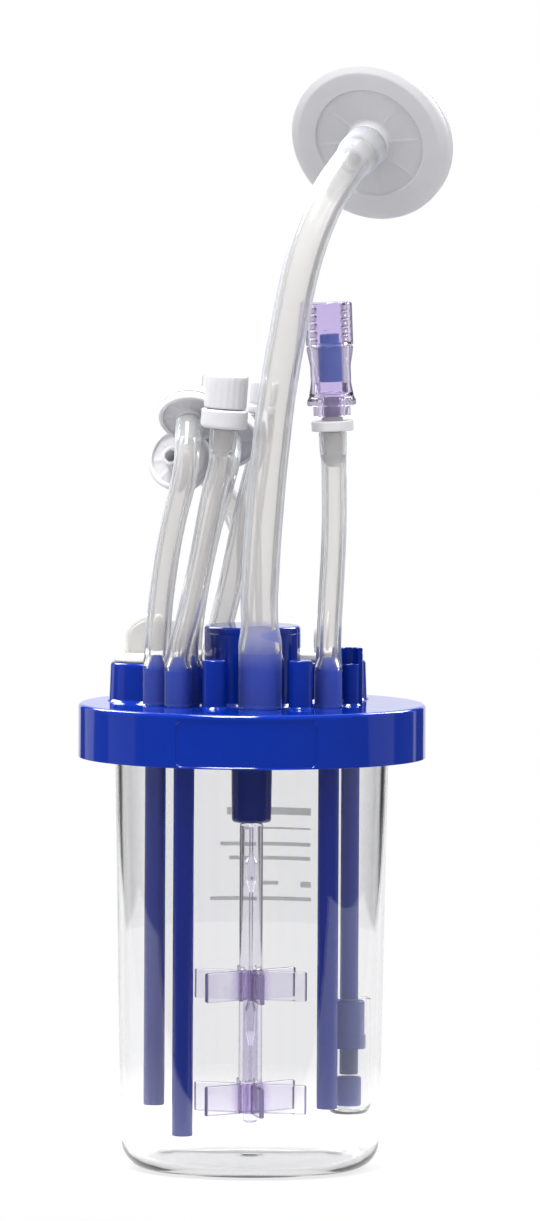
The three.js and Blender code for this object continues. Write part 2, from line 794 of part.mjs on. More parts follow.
// ---------------------------------------------------------------- disc filters on hose ends
// Every fitting is drawn with the hose's end at height 0, less the seat's clearance.
function hoseSideBarb(barb, length) {
  return barbSide(barb, length).map(([radius, height]) => [radius, seatGap - height]).reverse();
}

const filterMiddle = seatGap + filterHubRise + filterHalf;

function filterHoseShell() {
  const face = filterMiddle - filterHalf;
  const mid = filterMiddle - seatGap / 2;
  return turned([
    [smallBarb.bore, seatGap - fittingBarbLength],
    ...hoseSideBarb(smallBarb, fittingBarbLength),
    [filterHubRadius, seatGap],
    [filterHubRadius, face + filterFaceRecess],
    [filterRadius - filterRimWidth, face + filterFaceRecess],
    [filterRadius - filterRimWidth, face],
    [filterRadius - 0.5, face],
    [filterRadius, face + 0.5],
    [filterRadius, mid],
    [filterChamberRadius, mid],
    [filterChamberRadius, mid - filterChamberDepth],
    [smallBarb.bore, mid - filterChamberDepth],
  ], 14);
}

function filterFarShell(inletLength) {
  const mid = filterMiddle + seatGap / 2;
  const face = filterMiddle + filterHalf;
  const end = filterMiddle + inletLength;
  return turned([
    [luerBore, mid + filterChamberDepth],
    [filterChamberRadius, mid + filterChamberDepth],
    [filterChamberRadius, mid],
    [filterRadius, mid],
    [filterRadius, face - 0.5],
    [filterRadius - 0.5, face],
    [filterRadius - filterRimWidth, face],
    [filterRadius - filterRimWidth, face - filterFaceRecess],
    [luerRadius + 0.9, face - filterFaceRecess],
    [luerRadius, face + 0.4],
    [luerRadius - 0.1, end],
    [luerBore, end],
  ], 14);
}

function addDiscFilter(name, route, inletLength) {
  const seat = onHoseEnd(route);
  place(seat, `${name}_hose_shell`, filterHoseShell(), whiteFilter);
  place(seat, `${name}_far_shell`, filterFarShell(inletLength), whiteFilter);
}

// ---------------------------------------------------------------- vent filter
const ventMiddle = seatGap + ventHubRise + ventHalf;

function ventHoseShell() {
  const face = ventMiddle - ventHalf;
  const mid = ventMiddle - seatGap / 2;
  const shell = turned([
    [largeBarb.bore, seatGap - ventBarbLength],
    ...hoseSideBarb(largeBarb, ventBarbLength),
    [ventHubRadius, seatGap],
    [ventHubRadius, face + ventRecess],
    [ventRecessRadius, face + ventRecess],
    [ventRecessRadius + 0.3, face],
    [ventRadius - 1.8, face],
    [ventRadius, face + ventRimRise],
    [ventRadius, mid],
    [ventChamberRadius, mid],
    [ventChamberRadius, mid - ventChamberDepth],
    [largeBarb.bore, mid - ventChamberDepth],
  ], 28);
  return geometryOf(joined(shell, ...ventRibs(face + ventRecess, -1)));
}

function ventFarShell() {
  const mid = ventMiddle + seatGap / 2;
  const face = ventMiddle + ventHalf;
  const end = face + ventBackPortLength;
  const shell = turned([
    [largeBarb.bore, mid + ventChamberDepth],
    [ventChamberRadius, mid + ventChamberDepth],
    [ventChamberRadius, mid],
    [ventRadius, mid],
    [ventRadius, face - ventRimRise],
    [ventRadius - 1.8, face],
    [ventRecessRadius + 0.3, face],
    [ventRecessRadius, face - ventRecess],
    [ventBackPortRadius + 1, face - ventRecess],
    [ventBackPortRadius, face + 0.6],
    [ventBackPortRadius, end],
    [largeBarb.bore, end],
  ], 28);
  return geometryOf(joined(shell, ...ventRibs(face - ventRecess, 1)));
}

// Low ribs that spread from the hub across the recessed face.
function ventRibs(level, side) {
  const ribs = [];
  for (let i = 0; i < ventRibCount; i += 1) {
    const reach = ventRecessRadius - ventHubRadius + 1;
    const rib = new THREE.BoxGeometry(reach, ventRibWidth, 2 * ventRibHeight);
    rib.translate(ventHubRadius - 0.7 + reach / 2, 0, level);
    rib.rotateZ((2 * Math.PI * (i + side * 0.1)) / ventRibCount);
    ribs.push(rib);
  }
  return ribs;
}

function membraneGeometry() {
  return disc(membraneRadius, ventMiddle - membraneThickness / 2, ventMiddle + membraneThickness / 2, 24);
}

// ---------------------------------------------------------------- capped adapters
function adapterGeometry(size) {
  const top = seatGap + size.thickness;
  const stubTop = top + size.stubLength;
  return turned([
    [smallBarb.bore, seatGap - fittingBarbLength],
    ...hoseSideBarb(smallBarb, fittingBarbLength),
    [size.flange - 0.8, seatGap],
    [size.flange, seatGap + 0.8],
    [size.flange, top - 0.5],
    [size.flange - 0.5, top],
    [size.stub, top],
    [size.stub, stubTop],
    [smallBarb.bore, stubTop],
  ], 14);
}

function capGeometry(adapter, size) {
  const foot = 2 * seatGap + adapter.thickness;
  const top = foot + size.height;
  const bore = size.radius - size.wall;
  return turned([
    [bore, foot],
    [size.radius, foot],
    [size.radius, top - 0.7],
    [size.radius - 0.7, top],
    [0, top],
    [0, top - size.wall],
    [bore, top - size.wall],
  ], 14);
}

function addCappedAdapter(name, route, adapter, cap) {
  const seat = onHoseEnd(route);
  place(seat, `${name}_adapter`, adapterGeometry(adapter), whiteFilter);
  place(seat, `${name}_cap`, capGeometry(adapter, cap), whiteFilter);
}

// ---------------------------------------------------------------- sampling valve
const valveFoot = seatGap + adapterFlange + adapterNeck - 0.4;
const valveTop = valveFoot + valveStub + valveSkirt + valveBody + valveTopLip;
const chamberFloor = valveFoot + valveChamberFloor;
const pistonFoot = chamberFloor + pistonTravel + seatGap;

function sampleAdapterGeometry() {
  const flangeTop = seatGap + adapterFlange;
  const luerTop = flangeTop + adapterNeck + adapterLuer;
  const neckTop = valveFoot - seatGap;
  return turned([
    [smallBarb.bore, seatGap - fittingBarbLength - 2],
    ...hoseSideBarb(smallBarb, fittingBarbLength + 2),
    [adapterFlangeRadius, seatGap],
    [adapterFlangeRadius, flangeTop],
    [adapterNeckRadius, flangeTop],
    [adapterNeckRadius, neckTop],
    [adapterLuerRadius, neckTop],
    [adapterLuerRadius, luerTop],
    [smallBarb.bore, luerTop],
  ], 14);
}

function valveBodyGeometry() {
  const luerBoreRadius = adapterLuerRadius + seatGap;
  const skirtAt = valveFoot + valveStub;
  const waistAt = skirtAt + valveSkirt;
  const lipAt = waistAt + valveBody;
  return turned([
    [luerBoreRadius, valveFoot],
    [valveStubRadius, valveFoot],
    [valveStubRadius, skirtAt],
    [valveSkirtRadius, skirtAt],
    [valveSkirtRadius, skirtAt + 1.2],
    [valveSkirtRadius - 0.5, skirtAt + 2.2],
    [valveWaistRadius, waistAt + valveBody * 0.2],
    [valveWaistRadius, waistAt + valveBody * 0.6],
    [valveTopRadius, lipAt],
    [valveTopRadius, valveTop],
    [valveChamberRadius, valveTop],
    [valveChamberRadius, chamberFloor],
    [luerBoreRadius, chamberFloor],
  ], 20);
}

function valvePistonGeometry() {
  const top = pistonFoot + pistonHeight;
  return turned([
    [0, pistonFoot],
    [pistonRadius, pistonFoot],
    [pistonRadius, top - 3],
    [pistonRadius - 0.5, top - 2.4],
    [pistonRadius - 0.5, top],
    [0, top],
  ], 16);
}

function valveCollarGeometry() {
  const foot = valveTop + seatGap;
  const top = foot + collarHeight;
  const pitch = (collarHeight - 2.4) / collarThreads;
  const threads = [];
  for (let i = 0; i < collarThreads; i += 1) {
    const at = top - 1.2 - i * pitch;
    threads.push([collarBore, at]);
    threads.push([collarBore - collarThreadDepth, at - pitch / 2]);
  }
  return turned([
    [collarBore, foot],
    [collarRadius, foot],
    [collarRadius, top - 0.5],
    [collarRadius - 0.5, top],
    [collarBore, top],
    ...threads,
  ], 16);
}

// ---------------------------------------------------------------- the bioreactor
place(bioreactor, 'vessel', vesselGeometry(), clearJar);
place(bioreactor, 'vessel_seal', sealGeometry(), sealGrey);
place(bioreactor, 'head_plate', headPlateGeometry(), blueLid);
place(bioreactor, 'hub_cap', hubCapGeometry(), blueLid);

place(bioreactor, 'upper_bearing', upperBearingGeometry(), bearingWhite);
place(bioreactor, 'lower_bearing', lowerBearingGeometry(), bearingWhite);
place(bioreactor, 'shaft_seal', shaftSealGeometry(), sealGrey);
place(bioreactor, 'impeller_shaft', shaftGeometry(), lavender);
place(bioreactor, 'shaft_spacer', spacerGeometry(), lavender);
place(bioreactor, 'upper_impeller', impellerGeometry(upperImpellerFoot), lavender);
place(bioreactor, 'lower_impeller', impellerGeometry(lowerImpellerFoot), lavender);
place(bioreactor, 'drive_coupling', carrierGeometry(), blueTube);
for (let i = 0; i < magnetCount; i += 1) {
  place(bioreactor, `magnet_${i + 1}`, magnetGeometry(i), magnetSteel);
}

const plugSeat = lidTop + bossHeight + seatGap;
place(bioreactor, 'left_plug', plugGeometry(leftTabTurn).translate(...leftBossAt, plugSeat), whitePlug);
place(bioreactor, 'right_plug', plugGeometry(rightTabTurn).translate(...rightBossAt, plugSeat), whitePlug);

const inletTube = dipTubeGeometry(smallBarbAt.feed1, dipTubeRadius, inletTubeFoot);
const sampleTube = dipTubeGeometry(sampleTubeAt, dipTubeRadius, sampleTubeFoot);
const harvestTube = dipTubeGeometry(smallBarbAt.sample, dipTubeRadius, harvestTubeFoot);
const sensorTube = dipTubeGeometry(sensorAt, sensorTubeRadius, sensorTubeFoot);
place(bioreactor, 'inlet_tube', inletTube, blueTube);
place(bioreactor, 'sample_tube', sampleTube, blueTube);
place(bioreactor, 'harvest_tube', harvestTube, blueTube);
place(bioreactor, 'sensor_tube', sensorTube, blueTube);
place(bioreactor, 'sensor_cup', sensorCupGeometry(), clearCup);
place(bioreactor, 'sensor_collar', sensorCollarGeometry(), blueTube);
place(bioreactor, 'sensor_insert', sensorInsertGeometry(), blueTube);

const feedRoutes = [feedHose1Route, feedHose2Route, feedHose3Route, feedHose4Route, feedHose5Route];
feedRoutes.forEach((route, i) => {
  const geometry = hose(route, smallHoseRadius, smallBarb, smallHoseSides, smallHoseSteps);
  place(bioreactor, `feed_hose_${i + 1}`, geometry, clearHose);
});
const sampleHose = hose(sampleHoseRoute, smallHoseRadius, smallBarb, smallHoseSides, smallHoseSteps);
const ventHose = hose(ventHoseRoute, largeHoseRadius, largeBarb, largeHoseSides, largeHoseSteps);
place(bioreactor, 'sample_hose', sampleHose, clearHose);
place(bioreactor, 'vent_hose', ventHose, clearHose);

addDiscFilter('filter_a', feedHose1Route, filterInletLength.a);
addDiscFilter('filter_b', feedHose5Route, filterInletLength.b);
addDiscFilter('filter_c', feedHose3Route, filterInletLength.c);
addCappedAdapter('main_feed', feedHose2Route, mainAdapter, mainCap);
addCappedAdapter('side_feed', feedHose4Route, sideAdapter, sideCap);

const ventSeat = onHoseEnd(ventHoseRoute);
place(ventSeat, 'vent_filter_front', ventHoseShell(), whiteFilter);
place(ventSeat, 'vent_filter_back', ventFarShell(), whiteFilter);
place(ventSeat, 'vent_membrane', membraneGeometry(), membraneWhite);

const valveSeat = onHoseEnd(sampleHoseRoute);
place(valveSeat, 'sample_adapter', sampleAdapterGeometry(), whiteFilter);
place(valveSeat, 'valve_body', valveBodyGeometry(), lavender);
place(valveSeat, 'valve_piston', valvePistonGeometry(), valveBlue);
place(valveSeat, 'valve_collar', valveCollarGeometry(), lavender);

export default bioreactor;
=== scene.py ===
"""The visual model of a bench bioreactor, laid out as a Blender add-on and run as a script."""

import math

import bpy
import numpy as np
from mathutils import Euler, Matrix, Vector


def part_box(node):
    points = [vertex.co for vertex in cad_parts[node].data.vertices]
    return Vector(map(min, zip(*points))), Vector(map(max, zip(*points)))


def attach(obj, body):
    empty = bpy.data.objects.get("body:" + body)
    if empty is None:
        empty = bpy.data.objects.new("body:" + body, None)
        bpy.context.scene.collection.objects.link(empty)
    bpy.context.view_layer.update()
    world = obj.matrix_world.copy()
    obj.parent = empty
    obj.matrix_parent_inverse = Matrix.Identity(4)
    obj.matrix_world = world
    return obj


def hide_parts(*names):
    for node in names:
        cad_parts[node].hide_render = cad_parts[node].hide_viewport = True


bl_info = {
    "name": "Bench bioreactor",
    "version": (1, 0, 0),
    "blender": (4, 5, 0),
    "location": "View3D > Sidebar > Bioreactor",
    "description": "Makes a stirred single-use jar with its lid, hoses, filters and sampling valve",
    "category": "Object",
}

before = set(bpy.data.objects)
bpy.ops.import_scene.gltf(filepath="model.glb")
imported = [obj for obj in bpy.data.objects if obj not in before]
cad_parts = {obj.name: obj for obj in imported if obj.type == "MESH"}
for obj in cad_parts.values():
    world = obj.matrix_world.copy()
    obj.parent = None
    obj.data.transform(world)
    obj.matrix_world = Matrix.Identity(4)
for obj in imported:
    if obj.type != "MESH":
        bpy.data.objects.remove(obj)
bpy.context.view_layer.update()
MM = 0.001
# Points that round to the same place on this grid are one point of a mesh.
WELDS_PER_MM = 1e4
WHITE = (1.0, 1.0, 1.0, 1.0)


def low(node):
    """Lowest corner of a CAD node, in millimetres."""
    return np.array(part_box(node)[0]) / MM


def high(node):
    """Highest corner of a CAD node, in millimetres."""
    return np.array(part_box(node)[1]) / MM


def span(node):
    """Lowest and highest z of a CAD node, in millimetres."""
    return low(node)[2], high(node)[2]


# ------------------------------------------------------------------ places shared by the pieces, in mm

LID_FOOT = 104.4
LID_TOP = 118.0
LID_ROOF = LID_TOP - 4.2
HUB_TOP = high("hub_cap")[2]
HUB_CAP_FOOT = HUB_TOP - 1.8
HOUSING_FOOT = low("head_plate")[2]
JAR_TOP = high("vessel")[2]
BOSS_TOP = 128.0
LEFT_BOSS = (-24.9, 7.0)
RIGHT_BOSS = (17.8, 17.5)
POSTS = ((-9.5, -20.0), (12.2, -20.0))
SENSOR = (24.8, -5.2)
# How far past a hose's end the face of its fitting sits.
SEAT = 0.3
SMALL_BARBS = ((-24.1, -8.6), (-18.6, -15.6), (-16.0, -8.0), (-9.5, 14.5), (1.5, 18.0), (19.2, -14.0))
LARGE_BARB = (2.0, -19.3)
SAMPLE_TUBE = (-16.9, -15.2)


def over_barb(x, y):
    """The first points of a small hose's route, straight up over its barb, in metres."""
    return [(x, y, z) for z in (0.1183, 0.124, 0.1295)]


# Each hose's route in metres, from the foot on its barb to the fitting at its far end.
VENT_ROUTE = (
    (0.002, -0.0193, 0.1183), (0.002, -0.0193, 0.125), (0.002, -0.0193, 0.1315), (0.0019, -0.0194, 0.138),
    (0.0017, -0.0196, 0.145), (0.002, -0.0198, 0.152), (0.0024, -0.02, 0.16), (0.003, -0.0203, 0.168),
    (0.0036, -0.0206, 0.176), (0.0045, -0.0209, 0.185), (0.0056, -0.0213, 0.195), (0.0071, -0.0218, 0.205),
    (0.0089, -0.0221, 0.215), (0.0104, -0.022, 0.223), (0.0122, -0.021, 0.2306), (0.0151, -0.0178, 0.2394),
    (0.0189, -0.0118, 0.2474), (0.02405, -0.00454, 0.25467), (0.02609, 0.00068, 0.25681),
    (0.02813, 0.00591, 0.25894),
)
SAMPLE_ROUTE = (
    *over_barb(0.0192, -0.014), (0.01925, -0.014, 0.1345), (0.0194, -0.014, 0.1395),
    (0.01965, -0.014, 0.1445), (0.0199, -0.014, 0.1495), (0.02015, -0.014, 0.1545), (0.02035, -0.014, 0.1595),
    (0.02045, -0.014, 0.1645), (0.02045, -0.014, 0.1695), (0.0204, -0.014, 0.174), (0.0203, -0.014, 0.1785),
    (0.02012, -0.014, 0.183), (0.01994, -0.014, 0.1875),
)
FEED_ROUTES = (
    (
        *over_barb(-0.0241, -0.0086), (-0.0239, -0.0088, 0.135), (-0.0235, -0.0092, 0.1405),
        (-0.023, -0.0099, 0.146), (-0.0223, -0.0109, 0.1515), (-0.0215, -0.0121, 0.157),
        (-0.0205, -0.0135, 0.1625), (-0.0193, -0.0152, 0.168), (-0.0179, -0.017, 0.1734),
        (-0.0169, -0.0177, 0.1788), (-0.0166, -0.0157, 0.18355), (-0.01633, -0.01246, 0.18639),
        (-0.01607, -0.00917, 0.18929),
    ),
    (
        *over_barb(-0.0186, -0.0156), (-0.0176, -0.0157, 0.135), (-0.0161, -0.0159, 0.1405),
        (-0.0148, -0.0161, 0.146), (-0.0137, -0.0164, 0.1515), (-0.0126, -0.0167, 0.157),
        (-0.0116, -0.017, 0.1625), (-0.0106, -0.0173, 0.168), (-0.0096, -0.0176, 0.173),
        (-0.0086, -0.0178, 0.1772), (-0.008, -0.0179, 0.1806), (-0.00775, -0.01795, 0.1844),
        (-0.0075, -0.018, 0.1882),
    ),
    (
        *over_barb(-0.016, -0.008), (-0.0158, -0.0079, 0.135), (-0.0152, -0.0076, 0.141),
        (-0.0143, -0.0073, 0.147), (-0.0132, -0.007, 0.153), (-0.012, -0.0068, 0.1586),
        (-0.0108, -0.0067, 0.1636), (-0.0095, -0.0066, 0.1682), (-0.0083, -0.0063, 0.1724),
        (-0.0073, -0.0049, 0.176), (-0.0066, -0.0022, 0.179), (-0.0066, 0.00158, 0.18104),
        (-0.0066, 0.00545, 0.18313),
    ),
    (
        *over_barb(-0.0095, 0.0145), (-0.0086, 0.0143, 0.1346), (-0.0074, 0.014, 0.1396),
        (-0.0061, 0.0137, 0.145), (-0.0049, 0.0135, 0.1505), (-0.0038, 0.0135, 0.156),
        (-0.0027, 0.0137, 0.1615), (-0.0015, 0.0146, 0.167), (-0.0002, 0.016, 0.1724),
        (0.001, 0.0171, 0.1774), (0.0018, 0.0175, 0.1816), (0.0021, 0.0176, 0.1858), (0.0024, 0.0177, 0.19),
    ),
    (
        *over_barb(0.0015, 0.018), (0.0014, 0.0184, 0.135), (0.0011, 0.019, 0.141), (0.0004, 0.0197, 0.147),
        (-0.0006, 0.0203, 0.1526), (-0.002, 0.0207, 0.158), (-0.0038, 0.0208, 0.163),
        (-0.0059, 0.0203, 0.1674), (-0.0083, 0.019, 0.171), (-0.0109, 0.017, 0.1742),
        (-0.01333, 0.0142, 0.17665), (-0.01513, 0.01042, 0.1776), (-0.01698, 0.00655, 0.17856),
    ),
)


def linear(code):
    """sRGB hex colour as linear red, green, blue."""
    parts = np.array([int(code[i : i + 2], 16) for i in (0, 2, 4)]) / 255
    return tuple(np.where(parts <= 0.04045, parts / 12.92, ((parts + 0.055) / 1.055) ** 2.4).tolist())


# ------------------------------------------------------------------ sizes and colours a user may change


def length(name, description, default):
    """A size property in millimetres, shown as a length."""
    return bpy.props.FloatProperty(
        name=name, description=description, default=default * MM, min=0.0, subtype="DISTANCE", unit="LENGTH"
    )


def colour(name, description, code):
    """A colour property, from its sRGB hex value."""
    return bpy.props.FloatVectorProperty(
        name=name, description=description, default=linear(code), size=3, min=0.0, max=1.0, subtype="COLOR"
    )


class BioreactorSizes(bpy.types.PropertyGroup):
    """Sizes of the jar, the lid and the hoses."""

    lid_radius: length("Lid radius", "Outside radius of the lid", high("head_plate")[0])
    lid_edge: length("Lid edge", "Rounding of the lid's top edge", 1.9)
    panel_depth: length("Panel depth", "Depth of the bare panel in the lid's rim", 0.35)
    jar_foot_radius: length("Jar foot radius", "Outside radius of the jar above its foot", 32.85)
    jar_mouth_radius: length("Jar mouth radius", "Outside radius of the jar under the lid", 34.65)
    jar_wall: length("Jar wall", "Thickness of the jar's wall", 1.5)
    small_hose: length("Small hose", "Outside diameter of the small hoses", 6.35)
    small_bore: length("Small hose bore", "Inside diameter of the small hoses", 3.4)
    large_hose: length("Large hose", "Outside diameter of the vent hose", 9.5)
    large_bore: length("Large hose bore", "Inside diameter of the vent hose", 6.35)


class BioreactorColours(bpy.types.PropertyGroup):
    """Colours of the finishes."""

    lid: colour("Lid", "Blue of the moulded lid", "052a92")
    tubes: colour("Dip tubes", "Blue of the dip tubes", "1034b8")
    lavender: colour("Stirrer", "Tint of the clear stirrer", "f6f4fc")
    violet: colour("Stirrer edge", "Colour gathered at the edges of the clear violet plastic", "8a6cc4")
    hose: colour("Hose", "Tint of the clear hoses", "fdfcfb")
    white: colour("White plastic", "Filters and adapters", "dddce0")
    plug: colour("Plug", "Port plugs", "fbf9f4")
    piston: colour("Valve piston", "Blue of the sampling valve's piston", "a6c6ff")


# ------------------------------------------------------------------ surfaces


def rounded(*corners, steps=6):
    """Closed outline whose corners are replaced by arcs.

    Each corner is (first, second, radius). An arc of radius r that touches both sides has its middle on the
    corner's bisector, r / sin(half the corner's angle) from the corner. A point a short way along each side
    keeps the shading of the straight part straight.
    """
    point = np.array([c[:2] for c in corners], float)
    size = np.array([c[2] for c in corners], float)
    back, ahead = np.roll(point, 1, 0) - point, np.roll(point, -1, 0) - point
    back_length, ahead_length = (np.maximum(np.linalg.norm(v, axis=1), 1e-9) for v in (back, ahead))
    back, ahead = back / back_length[:, None], ahead / ahead_length[:, None]
    half = np.arccos(np.clip((back * ahead).sum(1), -1, 1)) / 2
    flat = half > math.pi / 2 - 1e-3
    half = np.clip(half, 1e-3, math.pi / 2 - 1e-3)
    most, longest_run_in, run_in_share = 0.49, 0.2, 0.3
    reach = np.minimum(size / np.tan(half), most * np.minimum(back_length, ahead_length))
    reach = np.where(flat, 0, reach)
    size = reach * np.tan(half)
    bisector = back + ahead
    bisector = bisector / np.maximum(np.linalg.norm(bisector, axis=1), 1e-9)[:, None]
    middle = point + bisector * (size / np.sin(half))[:, None]
    first = point + back * reach[:, None] - middle
    last = point + ahead * reach[:, None] - middle
    sweep = (math.pi - 2 * half)[:, None, None]
    part = np.linspace(0, 1, steps)[None, :, None]
    arc = np.sin((1 - part) * sweep) * first[:, None] + np.sin(part * sweep) * last[:, None]
    arc = middle[:, None] + arc / np.sin(sweep)
    arc = np.where(flat[:, None, None], point[:, None], arc)
    free = np.maximum(ahead_length - reach - np.roll(reach, -1), 0)
    after = np.minimum(longest_run_in, run_in_share * free)
    before = np.minimum(longest_run_in, run_in_share * np.roll(free, 1))
    round_one = (size > 0.01)[:, None]
    start = arc[:, 0] + np.where(round_one, back * before[:, None], 0)
    stop = arc[:, -1] + np.where(round_one, ahead * after[:, None], 0)
    return np.concatenate([start[:, None], arc, stop[:, None]], 1).reshape(-1, 2)


def smooth_path(route, count=240):
    """Evenly spaced points, in mm, on a smooth curve through a route given in metres.

    The curve is a cubic between each two points, whose slope at a point is the Catmull-Rom one for knots
    spaced by the square root of the chord.
    """
    point = np.array(route) / MM
    gap = np.sqrt(np.linalg.norm(np.diff(point, axis=0), axis=1))
    knot = np.concatenate([[0], np.cumsum(gap)])
    step = np.diff(point, axis=0) / gap[:, None]
    slope = np.empty_like(point)
    slope[1:-1] = (step[:-1] * gap[1:, None] + step[1:] * gap[:-1, None]) / (gap[1:] + gap[:-1])[:, None]
    slope[0], slope[-1] = step[0], step[-1]
    at = np.linspace(0, knot[-1], 12 * count)
    k = np.clip(np.searchsorted(knot, at, side="right") - 1, 0, len(gap) - 1)
    w, h = ((at - knot[k]) / gap[k])[:, None], gap[k][:, None]
    curve = (
        (2 * w**3 - 3 * w**2 + 1) * point[k] + (
            w**3 - 2 * w**2 + w
        ) * h * slope[k] + (3 * w**2 - 2 * w**3) * point[k + 1] + (w**3 - w**2) * h * slope[k + 1]
    )
    return evenly(curve, count)


def evenly(curve, count):
    """The same curve with its points spaced evenly along it."""
    along = distances(curve)
    at = np.linspace(0, along[-1], count)
    return np.stack([np.interp(at, along, curve[:, i]) for i in range(3)], 1)


def path_length(path):
    """Length along a path."""
    return float(np.linalg.norm(np.diff(path, axis=0), axis=1).sum())


def distances(path):
    """Distance along the path of each of its points."""
    return np.concatenate([[0], np.cumsum(np.linalg.norm(np.diff(path, axis=0), axis=1))])


def straight(origin, axis=(0, 0, 1)):
    """A path of unit length from origin along axis. Distances past its ends carry straight on."""
    origin = np.array(origin, float)
    return np.stack([origin, origin + np.array(axis, float) / np.linalg.norm(axis)])


def upright(at=(0, 0)):
    """A straight path up along z from a place on the ground."""
    return straight((*at, 0))


def path_end(path):
    """A straight path that carries on from the end of another."""
    return straight(path[-1], path[-1] - path[-4])


def frames(path, distance):
    """Centre and two directions square to the path at each distance along it."""
    along = distances(path)
    slope = np.gradient(path, along, axis=0) if len(path) > 2 else np.repeat(np.diff(path, axis=0), 2, 0)
    inside = np.clip(distance, 0, along[-1])
    centre = np.stack([np.interp(inside, along, path[:, i]) for i in range(3)], -1)
    tangent = np.stack([np.interp(inside, along, slope[:, i]) for i in range(3)], -1)
    tangent /= np.linalg.norm(tangent, axis=-1, keepdims=True)
    centre = centre + (distance - inside)[..., None] * tangent
    side = np.cross(tangent, [1.0, 0.0, 0.0])
    side /= np.linalg.norm(side, axis=-1, keepdims=True)
    return centre, np.cross(side, tangent), side


def turned(path, profile, around=96, shape=None, angles=None):
    """A closed profile of (radius, distance along the path) carried round the path.

    Point = centre(distance) + radius * (cos angle * across + sin angle * side). shape, if given, changes
    the radius and distance grids as a function of the angle.
    """
    if angles is None:
        angles = np.linspace(0, 2 * math.pi, around, endpoint=False)
    radius, distance, angle = np.broadcast_arrays(profile[:, :1], profile[:, 1:], angles[None, :])
    if shape is not None:
        radius, distance = shape(radius.copy(), distance.copy(), angle)
    centre, across, side = frames(path, distance)
    ring = np.cos(angle)[..., None] * across + np.sin(angle)[..., None] * side
    return centre + radius[..., None] * ring


def layered(outline, layers, origin, x, y, z):
    """A convex outline in the x and y directions, stacked in layers along z.

    Each layer (inset, height) moves the outline inwards by inset along its own normals. The first and
    last layers close on the outline's middle.
    """
    run = np.roll(outline, -1, 0) - np.roll(outline, 1, 0)
    run /= np.linalg.norm(run, axis=1, keepdims=True)
    area = np.sum(outline[:, 0] * np.roll(outline[:, 1], -1) - outline[:, 1] * np.roll(outline[:, 0], -1))
    inward = np.stack([-run[:, 1], run[:, 0]], 1) * np.sign(area)
    layers = np.array(layers, float)
    flat = outline[None] + layers[:, :1, None] * inward[None]
    middle = np.broadcast_to(outline.mean(0), outline.shape)
    flat = np.concatenate([middle[None], flat, middle[None]])
    height = np.concatenate([layers[:1, 1], layers[:, 1], layers[-1:, 1]])[:, None, None]
    x, y, z = (np.array(v, float) for v in (x, y, z))
    return np.array(origin, float) + flat[..., :1] * x + flat[..., 1:] * y + height * z


def slab_layers(thickness, edge=0.25, steps=4):
    """Layers of a flat slab with quarter-round edges, for layered."""
    margin = 0.08
    turn = np.linspace(0, math.pi / 2, steps)
    inset, rise = edge * (1 - np.sin(turn)), thickness / 2 - edge * (1 - np.cos(turn))
    inset, rise = np.append(edge + margin, inset), np.append(thickness / 2, rise)
    return np.concatenate([np.stack([inset, rise], 1), np.stack([inset, -rise], 1)[::-1]])


def shell(grid):
    """Faces between the neighbours of a grid of points, with shared points merged and faces outwards."""
    rows, columns = grid.shape[:2]
    i, j = np.meshgrid(np.arange(rows), np.arange(columns), indexing="ij")
    i2, j2 = (i + 1) % rows, (j + 1) % columns
    corner = [i * columns + j, i * columns + j2, i2 * columns + j2, i2 * columns + j]
    quad = np.stack(corner, -1).reshape(-1, 4)
    points = grid.reshape(-1, 3)
    place = np.round(points * WELDS_PER_MM).astype(np.int64)
    _, first, shared = np.unique(place, axis=0, return_index=True, return_inverse=True)
    shared = shared.reshape(-1)
    triangle = np.concatenate([shared[quad][:, [0, 1, 2]], shared[quad][:, [0, 2, 3]]])
    points = points[first]
    a, b, c = triangle.T
    triangle = triangle[(a != b) & (b != c) & (c != a)]
    p, q, r = (points[triangle[:, k]] for k in range(3))
    if np.einsum("ij,ij->i", p, np.cross(q, r)).sum() < 0:
        triangle = triangle[:, ::-1]
    return points, triangle


def piece(name, grids, material, node=None, body="body", sharp=38):
    """One object made of closed shells, that rides on a body and stands for a CAD node."""
    shells = [shell(g) for g in grids]
    starts = np.cumsum([0] + [len(p) for p, _ in shells[:-1]])
    points = np.concatenate([p for p, _ in shells]) * MM
    faces = np.concatenate([f + s for (_, f), s in zip(shells, starts)])
    mesh = bpy.data.meshes.new(name)
    mesh.vertices.add(len(points))
    mesh.vertices.foreach_set("co", points.astype(np.float32).ravel())
    mesh.loops.add(faces.size)
    mesh.loops.foreach_set("vertex_index", faces.astype(np.int32).ravel())
    mesh.polygons.add(len(faces))
    mesh.polygons.foreach_set("loop_start", np.arange(0, faces.size, 3, dtype=np.int32))
    mesh.polygons.foreach_set("use_smooth", np.ones(len(faces), bool))
    mesh.update(calc_edges=True)
    mesh.set_sharp_from_angle(angle=math.radians(sharp))
    if mesh.validate():
        raise RuntimeError(f"the mesh of {name} isn't sound")
    mesh.materials.append(material)
    made = bpy.data.objects.new(name, mesh)
    bpy.context.scene.collection.objects.link(made)
    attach(made, body)
    if node:
        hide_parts(node)


# ------------------------------------------------------------------ finishes


def add(tree, kind, sockets=None, **settings):
    """A shader node with its settings, whose sockets take a value, a link or a node's first output in use."""
    made = tree.nodes.new("ShaderNode" + kind)
    for name, value in settings.items():
        setattr(made, name, value)
    for key, value in (sockets or {}).items():
        if isinstance(value, bpy.types.Node):
            value = next(socket for socket in value.outputs if socket.enabled)
        if isinstance(value, bpy.types.NodeSocket):
            tree.links.new(value, made.inputs[key])
        else:
            made.inputs[key].default_value = value
    return made


def shade(colour, factor=1.0):
    """A colour made darker by a factor, with its alpha."""
    return (*(factor * c for c in colour), 1.0)


